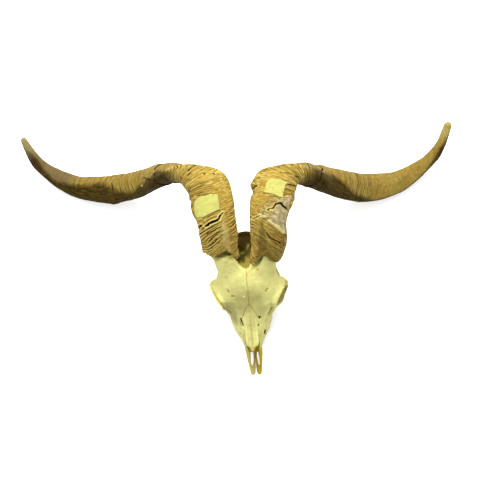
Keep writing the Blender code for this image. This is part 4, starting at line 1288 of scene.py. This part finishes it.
def smooth_brow(obj):
    """Evens out the forehead and says how much of it each vertex belongs to."""
    points = mesh_points(obj)[0]
    brow = within(points[:, 1], *BROW_BACK) * soft(points[:, 2], *BROW_HEIGHT)
    move_points(obj, relaxed(obj, points, BROW_ROUNDS, brow[:, None]))
    return brow


def bone_marks(obj, horns=()):
    """Carves sutures, pits and pores into a bone and stores where it is stained and where shade and light are
    painted.
    """
    brow = smooth_brow(obj)
    points, normals = mesh_points(obj)
    x, y, z = points.T
    facing = normals[:, 2]
    facing_up = soft(facing, 0.15, 0.4) * soft(z, 40, 50)
    wobble = 0.8 * wander(points, 4, 301) + 0.5 * wander(points, 1.8, 303)
    above = points[:, :2] + wobble

    # Sutures, pits and holes.
    middle = bell(line_distance(above, FRONTAL_SUTURE), 0.9) * facing_up
    lines, pit_darkening, hole = np.zeros((3, len(points)))
    for line in (*NASAL_SUTURES, *CHEEK_SUTURES):
        share = 1.0 if line in NASAL_SUTURES else 0.45
        lines = np.maximum(lines, share * bell(line_distance(above, line), 0.8) * facing_up)
    lift = -SUTURE_DEPTH * middle - FINE_SUTURE_DEPTH * lines
    # Each pit is carved and its soft edge is darkened.
    for pit_x, pit_y, size in PITS:
        near = blot(above, (pit_x, pit_y), size) * facing_up
        pit_darkening = np.maximum(pit_darkening, near)
        lift -= 0.5 * size * near
    for line, half in HOLES:
        near = 1 - soft(line_distance(points[:, :2] + 0.15 * wobble, line), 0.6 * half, half)
        hole = np.maximum(hole, near * soft(facing, 0.0, 0.15) * soft(z, 30, 34))
    lift -= HOLE_DEPTH * hole

    # Hollow between the horns, low ridges of the nose and rims of the orbits.
    valley = soft(inside_distance(above, HORN_VALLEY), -1.0, 2.5) * facing_up
    lip = bell(inside_distance(above, HORN_VALLEY) + 3.0, 3.2) * facing_up * (1 - soft(y, 199, 203))
    across = np.abs(x - 0.4)
    on_nose = within(y, *RIDGED_NOSE_BACK) * facing_up * soft(z, *RIDGED_NOSE_HEIGHT)
    ridge = bell(across - 8.6, 1.7) * on_nose
    groove = bell(across, 2.4) * on_nose
    beside = bell(across - through(NASAL_HALF, y), 2.5) * (1 - soft(y, 95, 105))
    aside = soft(facing, -0.25, 0.15) * soft(z, 44, 56)
    # Painted light along the left cheekbone's strip.
    strip = (1 - soft(line_distance(above, MALAR_STRIP), *STRIP_EDGE)) * aside
    right_rim = 1 - soft(line_distance(above, RIGHT_RIM), *RIM_EDGE)
    right_rim *= soft(z, 50, 57) * soft(facing, 0.1, 0.5)
    rim_line = np.maximum(bell(line_distance(above, MALAR_LINE), 1.2) * aside, right_rim)
    lift += HOLLOW_LIP * lip - HOLLOW_DEPTH * valley + NOSE_RIDGE * ridge
    lift += 0.35 * cloud(points, 14, 305) + 0.16 * cloud(points, 5, 306) + 0.06 * cloud(points, 2, 307)
    points = points + normals * lift[:, None]
    points[:, 2] -= 0.6 * groove
    move_points(obj, points)

    # Stains, painted shade and painted light, by the name under which the material reads them.
    x, y, z = points.T
    dot = blot(above, WHITE_DOT[:2], WHITE_DOT[2]) * facing_up
    nose = 1 - soft(y, *NOSTRIL_BACK[1])
    # Painted shade on the floor of the nose, seen through the nostrils.
    recess = within(y, *NOSTRIL_BACK) * (1 - soft(z, *NOSTRIL_TOP))
    recess *= 1 - soft(np.abs(x - 0.6), *NOSTRIL_SIDE)
    beside *= soft(z, 40, 50)
    orbit = soft(np.abs(x), *ORBIT_SIDE) * within(y, *ORBIT_BACK) * soft(z, *ORBIT_HEIGHT)
    hollow = np.clip(hollowness(obj, 14) * 1.6, 0, 1) + np.clip(hollowness(obj, 90) * 0.35, 0, 1)
    hollow *= (1 - strip) * (1 - brow) * (1 - 0.65 * nose) * (1 - 0.8 * beside) * (1 - 0.8 * orbit)
    nape = (1 - soft(np.abs(x - 1), *NAPE_SIDE)) * soft(z, *NAPE_HEIGHT)
    # Between the horns: partly the bone's dark brown, partly painted shade, with a painted shadow on the
    # hollow's left.
    dark = soft(y, 202, 219) * nape * (1 - 0.75 * bell(x - 5, 3.5) * (1 - soft(y, 218, 230)))
    dark = np.maximum(dark, 0.72 * valley * soft(-x, -3, 3) * soft(y, 190, 197))
    core = np.maximum(np.maximum(bare_core(points, horns), valley), soft(y, 198, 206) * nape)
    grey_lumps = cloud(points, 9, 310)
    # Painted shade greys the left side of the face.
    left_cheek = soft(-x, *LEFT_CHEEK_SIDE) * within(y, *LEFT_CHEEK_BACK) * soft(z, *LEFT_CHEEK_HEIGHT)
    left_cheek *= 0.9 + 0.5 * grey_lumps
    grey = blot(points[:, :2], *GREY_FIELD) * facing_up * (0.85 + 0.4 * grey_lumps)
    grey = np.maximum(np.maximum(grey, 1.3 * left_cheek), 0.5 * groove)
    stains_and_painted_light = {
        "seam": np.maximum(np.maximum(0.8 * middle, lines), 0.8 * rim_line),
        "pit": hole,
        "pit_darkening": pit_darkening,
        # Painted light on the cheekbone's strip, strongest on its low ledge in the orbit's shade.
        "bright": np.clip(dot + 0.5 * lip + 0.45 * ridge + strip * (1 - rim_line), 0, 1),
        "painted_light_ledge": strip * (1 - 0.8 * rim_line) * (1 - soft(z, 72, 92)) * soft(facing, 0.1, 0.5),
        "hollow": np.maximum(hollow, recess),
        "core": core,
        "dark": np.clip(dark * (0.85 + 0.3 * cloud(points, 7, 309)), 0, 1),
        "spot": blot(points[:, :2], RUSTY_SPOT[:2], RUSTY_SPOT[2]) * facing_up,
        "grey": grey * (1 - strip),
        "ochre": (1 - soft(y + 0.25 * z, *OCHRE_END)) * (0.55 + 0.45 * soft(x, -2, 2)),
    }
    for key, amount in stains_and_painted_light.items():
        keep_value(obj, key, amount)


class Look:
    """One material, with a short call for each kind of node that it is built from."""

    def __init__(self, name):
        self.material = bpy.data.materials.new(name)
        self.material.use_nodes = True
        self.tree = self.material.node_tree
        self.shader = self.tree.nodes["Principled BSDF"]
        self.shader.inputs["Specular IOR Level"].default_value = DRY_SHINE

    def node(self, kind, **sockets):
        """New node with its sockets plugged or set by name, an underscore standing for a space."""
        made = self.tree.nodes.new(f"ShaderNode{kind}")
        for name, source in sockets.items():
            self.plug(made.inputs[name.replace("_", " ")], source)
        return made

    def plug(self, socket, source):
        if isinstance(source, bpy.types.NodeSocket):
            self.tree.links.new(source, socket)
        else:
            socket.default_value = source

    def stored(self, name, output="Fac"):
        node = self.node("Attribute")
        node.attribute_name = name
        return node.outputs[output]

    def place(self):
        """Object coordinates in millimetres."""
        return self.scaled(self.node("TexCoord").outputs["Object"], (1000, 1000, 1000))

    def scaled(self, vector, scale):
        return self.node("Mapping", Vector=vector, Scale=scale).outputs["Vector"]

    def noise(self, vector, size, detail, rough=0.55):
        node = self.node("TexNoise", Vector=vector, Scale=1 / size, Detail=detail, Roughness=rough)
        return node.outputs["Fac"]

    def spread(self, source, low, high, start=0.0, end=1.0):
        node = self.node("MapRange", Value=source, From_Min=low, From_Max=high, To_Min=start, To_Max=end)
        node.interpolation_type = "SMOOTHSTEP"
        return node.outputs["Result"]

    def times(self, a, b):
        node = self.node("Math")
        node.operation = "MULTIPLY"
        self.plug(node.inputs[0], a)
        self.plug(node.inputs[1], b)
        return node.outputs[0]

    def mix(self, share, a, b):
        node = self.node("Mix")
        node.data_type = "RGBA"
        sockets = {s.identifier: s for s in node.inputs}
        self.plug(sockets["Factor_Float"], share)
        for key, source in (("A_Color", a), ("B_Color", b)):
            self.plug(sockets[key], (*source, 1.0) if isinstance(source, tuple) else source)
        return next(s for s in node.outputs if s.identifier == "Result_Color")

    def paint(self, colour, stains_and_painted_light):
        """Lays the colours of a table over a colour, each where its stored value is high."""
        for key, edges, tint in stains_and_painted_light:
            share = self.stored(key)
            if edges:
                low, high, most = edges
                share = self.spread(share, low, high, 0, most)
            colour = self.mix(share, colour, tint)
        return colour

    def bump(self, height, depth, strength, **under):
        """Bumps of some depth in millimetres, over another normal if one is given."""
        node = self.node("Bump", Strength=strength, Distance=depth * MM, Height=height, **under)
        return node.outputs["Normal"]

    def finish(self, colour, roughness, normal):
        for name, source in (("Base Color", colour), ("Roughness", roughness), ("Normal", normal)):
            self.plug(self.shader.inputs[name], source)
        return self.material


def bone_material():
    look = Look("weathered_bone")
    place = look.place()
    broad = look.noise(place, 26, 3)
    mottled = look.noise(place, 5, 5, 0.65)
    pores = look.noise(place, 0.9, 3, 0.6)
    warm = look.noise(place, 11, 4, 0.6)
    colour = look.mix(look.spread(broad, 0.35, 0.65), (0.350, 0.345, 0.118), (0.300, 0.286, 0.100))
    colour = look.mix(look.spread(mottled, 0.45, 0.75, 0, 0.5), colour, (0.240, 0.212, 0.078))
    colour = look.mix(look.spread(warm, 0.52, 0.7, 0, 0.6), colour, (0.270, 0.205, 0.085))
    colour = look.mix(look.spread(warm, 0.3, 0.45, 0.5, 0), colour, (0.400, 0.400, 0.175))
    colour = look.paint(colour, BONE_STAINS_AND_PAINTED_LIGHT)
    normal = look.bump(mottled, 0.5, 0.35, Normal=look.bump(pores, 0.18, 0.5))
    return look.finish(colour, look.spread(mottled, 0.3, 0.7, 0.42, 0.62), normal)


def tooth_material():
    look = Look("tooth_enamel")
    place = look.place()
    streaks = look.noise(look.scaled(place, (1, 1, 0.18)), 1.6, 4)
    colour = look.mix(look.spread(streaks, 0.4, 0.7), (0.240, 0.210, 0.120), (0.100, 0.066, 0.026))
    return look.finish(colour, look.spread(streaks, 0.3, 0.7, 0.25, 0.5), look.bump(streaks, 0.3, 0.4))


def horn_material():
    look = Look("ridged_horn")
    grain = look.stored("grain", "Vector")
    broad = look.noise(grain, 30, 3)
    rings = look.noise(look.scaled(grain, (0.06, 0.06, 1.0)), 1.9, 3, 0.6)
    flecks = look.noise(look.scaled(grain, (0.4, 0.4, 1.0)), 1.9, 4, 0.65)
    threads = look.noise(look.scaled(grain, (1.0, 1.0, 0.07)), 1.6, 3, 0.6)
    mottled = look.noise(grain, 5, 5, 0.65)
    ringed = look.stored("ringed")
    colour = look.mix(look.spread(broad, 0.38, 0.62), (0.250, 0.180, 0.036), (0.215, 0.135, 0.020))
    colour = look.mix(look.spread(mottled, 0.42, 0.68, 0, 0.7), colour, (0.140, 0.088, 0.013))
    dark_rings = look.times(look.spread(rings, 0.46, 0.60, 0, 0.72), ringed)
    colour = look.mix(dark_rings, colour, (0.060, 0.034, 0.004))
    # Painted highlights along the growth rings.
    painted_ring_highlights = look.times(look.spread(rings, 0.32, 0.45, 0.65, 0.0), ringed)
    colour = look.mix(painted_ring_highlights, colour, (0.370, 0.300, 0.085))
    streaks = look.times(look.spread(threads, 0.46, 0.62, 0, 0.75), look.stored("combed"))
    colour = look.mix(streaks, colour, (0.085, 0.052, 0.007))
    colour = look.mix(look.spread(flecks, 0.52, 0.66, 0, 0.7), colour, (0.075, 0.043, 0.006))
    # Bright flecks: partly the horn's own speckle, partly painted glints.
    colour = look.mix(look.spread(flecks, 0.34, 0.46, 0.55, 0.0), colour, (0.370, 0.310, 0.100))
    scuffed = look.mix(threads, (0.042, 0.028, 0.012), (0.090, 0.064, 0.032))
    # Colour of the painted shade on the arms' undersides.
    under = look.mix(look.spread(threads, 0.4, 0.6), (0.004, 0.002, 0.0002), (0.032, 0.020, 0.002))
    flakes = look.mix(look.spread(mottled, 0.35, 0.6), (0.290, 0.240, 0.110), (0.160, 0.132, 0.066))
    patterned = (("dull", None, scuffed), ("shade", None, under), ("grey", None, flakes))
    colour = look.paint(colour, (*HORN_STAINS_AND_PAINTED_LIGHT, *patterned, *HORN_LAST_STAINS))
    normal = look.bump(rings, 1.1, 0.8, Normal=look.bump(threads, 0.25, 0.45))
    return look.finish(colour, look.spread(mottled, 0.3, 0.7, 0.42, 0.66), normal)


def tape_material():
    look = Look("yellowed_tape")
    place = look.place()
    crepe = look.noise(look.scaled(place, (1.0, 0.3, 0.3)), 0.8, 3)
    stained = look.noise(place, 6, 4)
    colour = look.mix(look.spread(stained, 0.4, 0.75, 0, 0.8), (0.278, 0.272, 0.074), (0.220, 0.202, 0.052))
    return look.finish(colour, look.spread(stained, 0.3, 0.7, 0.7, 0.85), look.bump(crepe, 0.2, 0.5))


def floor_material():
    look = Look("pale_floor")
    place = look.place()
    faint = look.noise(place, 400, 3)
    colour = look.mix(look.spread(faint, 0.3, 0.7), (0.90, 0.90, 0.90), (0.93, 0.93, 0.93))
    return look.finish(colour, 0.8, look.bump(look.noise(place, 3, 2), 0.1, 0.1))


def dress(obj, material, slot, *nodes):
    """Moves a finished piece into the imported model's frame, where it stands for some nodes."""
    obj.data.transform(Matrix.Translation(-MIDDLE * MM))
    obj.data.materials.clear()
    obj.data.materials.append(material)
    obj.data.shade_smooth()
    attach(obj, "root")
    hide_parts(*nodes)


def build_skull(horns):
    """Cranium and upper jaw in one piece, with room for the nasal bones, premaxillae and horn sheaths."""
    form = bmesh.new()
    cranium_masses(form)
    face_masses(form)
    skull = finish_mesh(form, "skull_bone")
    form = bmesh.new()
    skull_openings(form)
    openings = finish_mesh(form, "openings", shown=False)
    fuse(openings, 0.7, 0)
    bake(openings, largest_only=False)
    fuse(skull, BONE_VOXEL, 4)
    bake(skull)
    cut(skull, openings)
    bake(skull)
    fuse(skull, BONE_VOXEL, 8)
    bake(skull)
    cutters = []
    for side in (1, -1):
        cutters.append(lofted(f"nasal_room_{side}", nasal_rings(side, grow=-0.1), shown=False))
        form = bmesh.new()
        premaxilla(form, side, grow=0.3)
        cutters.append(finish_mesh(form, f"premaxilla_room_{side}", shown=False))
        fuse(cutters[-1], 0.5, 0)
        bake(cutters[-1])
    for i, horn in enumerate(horns):
        cutters.append(lip_cutter(horn, f"lip_room_{i}"))
        cutters.append(core_cutter(horn, f"horn_room_{i}"))
    for cutter in cutters:
        cut(skull, cutter)
        bake(skull)
    bone_marks(skull, horns)
    for cutter in (openings, *cutters):
        bpy.data.objects.remove(cutter, do_unlink=True)
    return skull


def build_teeth():
    form = bmesh.new()
    back = TOOTH_ROW_FRONT
    for length, width in CHEEK_TEETH:
        for side in (1, -1):
            loft(form, tooth_rings(back + length / 2, length * 0.99, width, side))
        back += length
    return finish_mesh(form, "cheek_teeth")


def add_camera():
    back = Vector((sin(radians(CAMERA_LEAN)), 0, cos(radians(CAMERA_LEAN))))
    up = Vector((sin(radians(CAMERA_TURN)), cos(radians(CAMERA_TURN)), 0))
    up = (up - back * up.dot(back)).normalized()
    right = up.cross(back)
    camera = bpy.data.objects.new("camera", bpy.data.cameras.new("camera"))
    camera.data.sensor_width = CAMERA_SENSOR
    camera.data.lens = CAMERA_LENS
    camera.data.clip_start, camera.data.clip_end = CAMERA_CLIP
    spot = (CAMERA_AIM - MIDDLE + back * CAMERA_DISTANCE) * MM
    turn = Matrix((right, up, back)).transposed().to_4x4()
    camera.matrix_world = Matrix.Translation(spot) @ turn
    bpy.context.scene.collection.objects.link(camera)
    bpy.context.scene.camera = camera


def add_studio():
    """White floor and white world light, with one lamp."""
    form = bmesh.new()
    bmesh.ops.create_grid(form, x_segments=1, y_segments=1, size=FLOOR_SIZE)
    floor = finish_mesh(form, "floor")
    floor.location.z = -FLOOR_DROP
    floor.data.materials.append(floor_material())
    world = bpy.data.worlds.new("studio")
    world.use_nodes = True
    background = world.node_tree.nodes["Background"]
    background.inputs["Color"].default_value = (1.0, 1.0, 1.0, 1.0)
    background.inputs["Strength"].default_value = SKY_STRENGTH
    bpy.context.scene.world = world
    bpy.context.scene.view_settings.view_transform = "Standard"
    lamp = bpy.data.lights.new("key", "AREA")
    lamp.shape = "DISK"
    lamp.size = LAMP_SIZE
    lamp.energy = LAMP_POWER
    made = bpy.data.objects.new("key", lamp)
    made.location = LAMP_PLACE
    made.rotation_mode = "QUATERNION"
    made.rotation_quaternion = (LAMP_AIM - LAMP_PLACE).to_track_quat("-Z", "Y")
    bpy.context.scene.collection.objects.link(made)


def main():
    bone, keratin, tape = bone_material(), horn_material(), tape_material()
    left = make_horn(LEFT_HORN, -1, LEFT_ROOT, LEFT_PINCH)
    right = make_horn(RIGHT_HORN, 1, RIGHT_ROOT, RIGHT_PINCH)
    dress(build_skull((left, right)), bone, "bone", "cranium", "upper_jaw")
    dress(build_teeth(), tooth_material(), "bone", "upper_jaw")
    for name, side in (("left", -1), ("right", 1)):
        nasal = lofted(f"nasal_bone_{name}", nasal_rings(side, grow=0.2))
        bone_marks(nasal)
        dress(nasal, bone, "bone", f"nasal_{name}")
        form = bmesh.new()
        premaxilla(form, side)
        jaw_tip = finish_mesh(form, f"premaxilla_bone_{name}")
        fuse(jaw_tip, THIN_VOXEL, 3)
        bake(jaw_tip)
        bone_marks(jaw_tip)
        dress(jaw_tip, bone, "bone", f"premaxilla_{name}")
    for name, horn, marks, corners, seed in (("left", left, LEFT_MARKS, LEFT_TAPE, 401),
                                             ("right", right, RIGHT_MARKS, RIGHT_TAPE, 402)):
        dress(horn_sheath(f"horn_sheath_{name}", horn, marks), keratin, "horn", f"horn_{name}")
        dress(tape_label(f"tape_label_{name}", horn, corners, marks, seed), tape, "tape", f"label_{name}")
    add_studio()
    add_camera()


main()
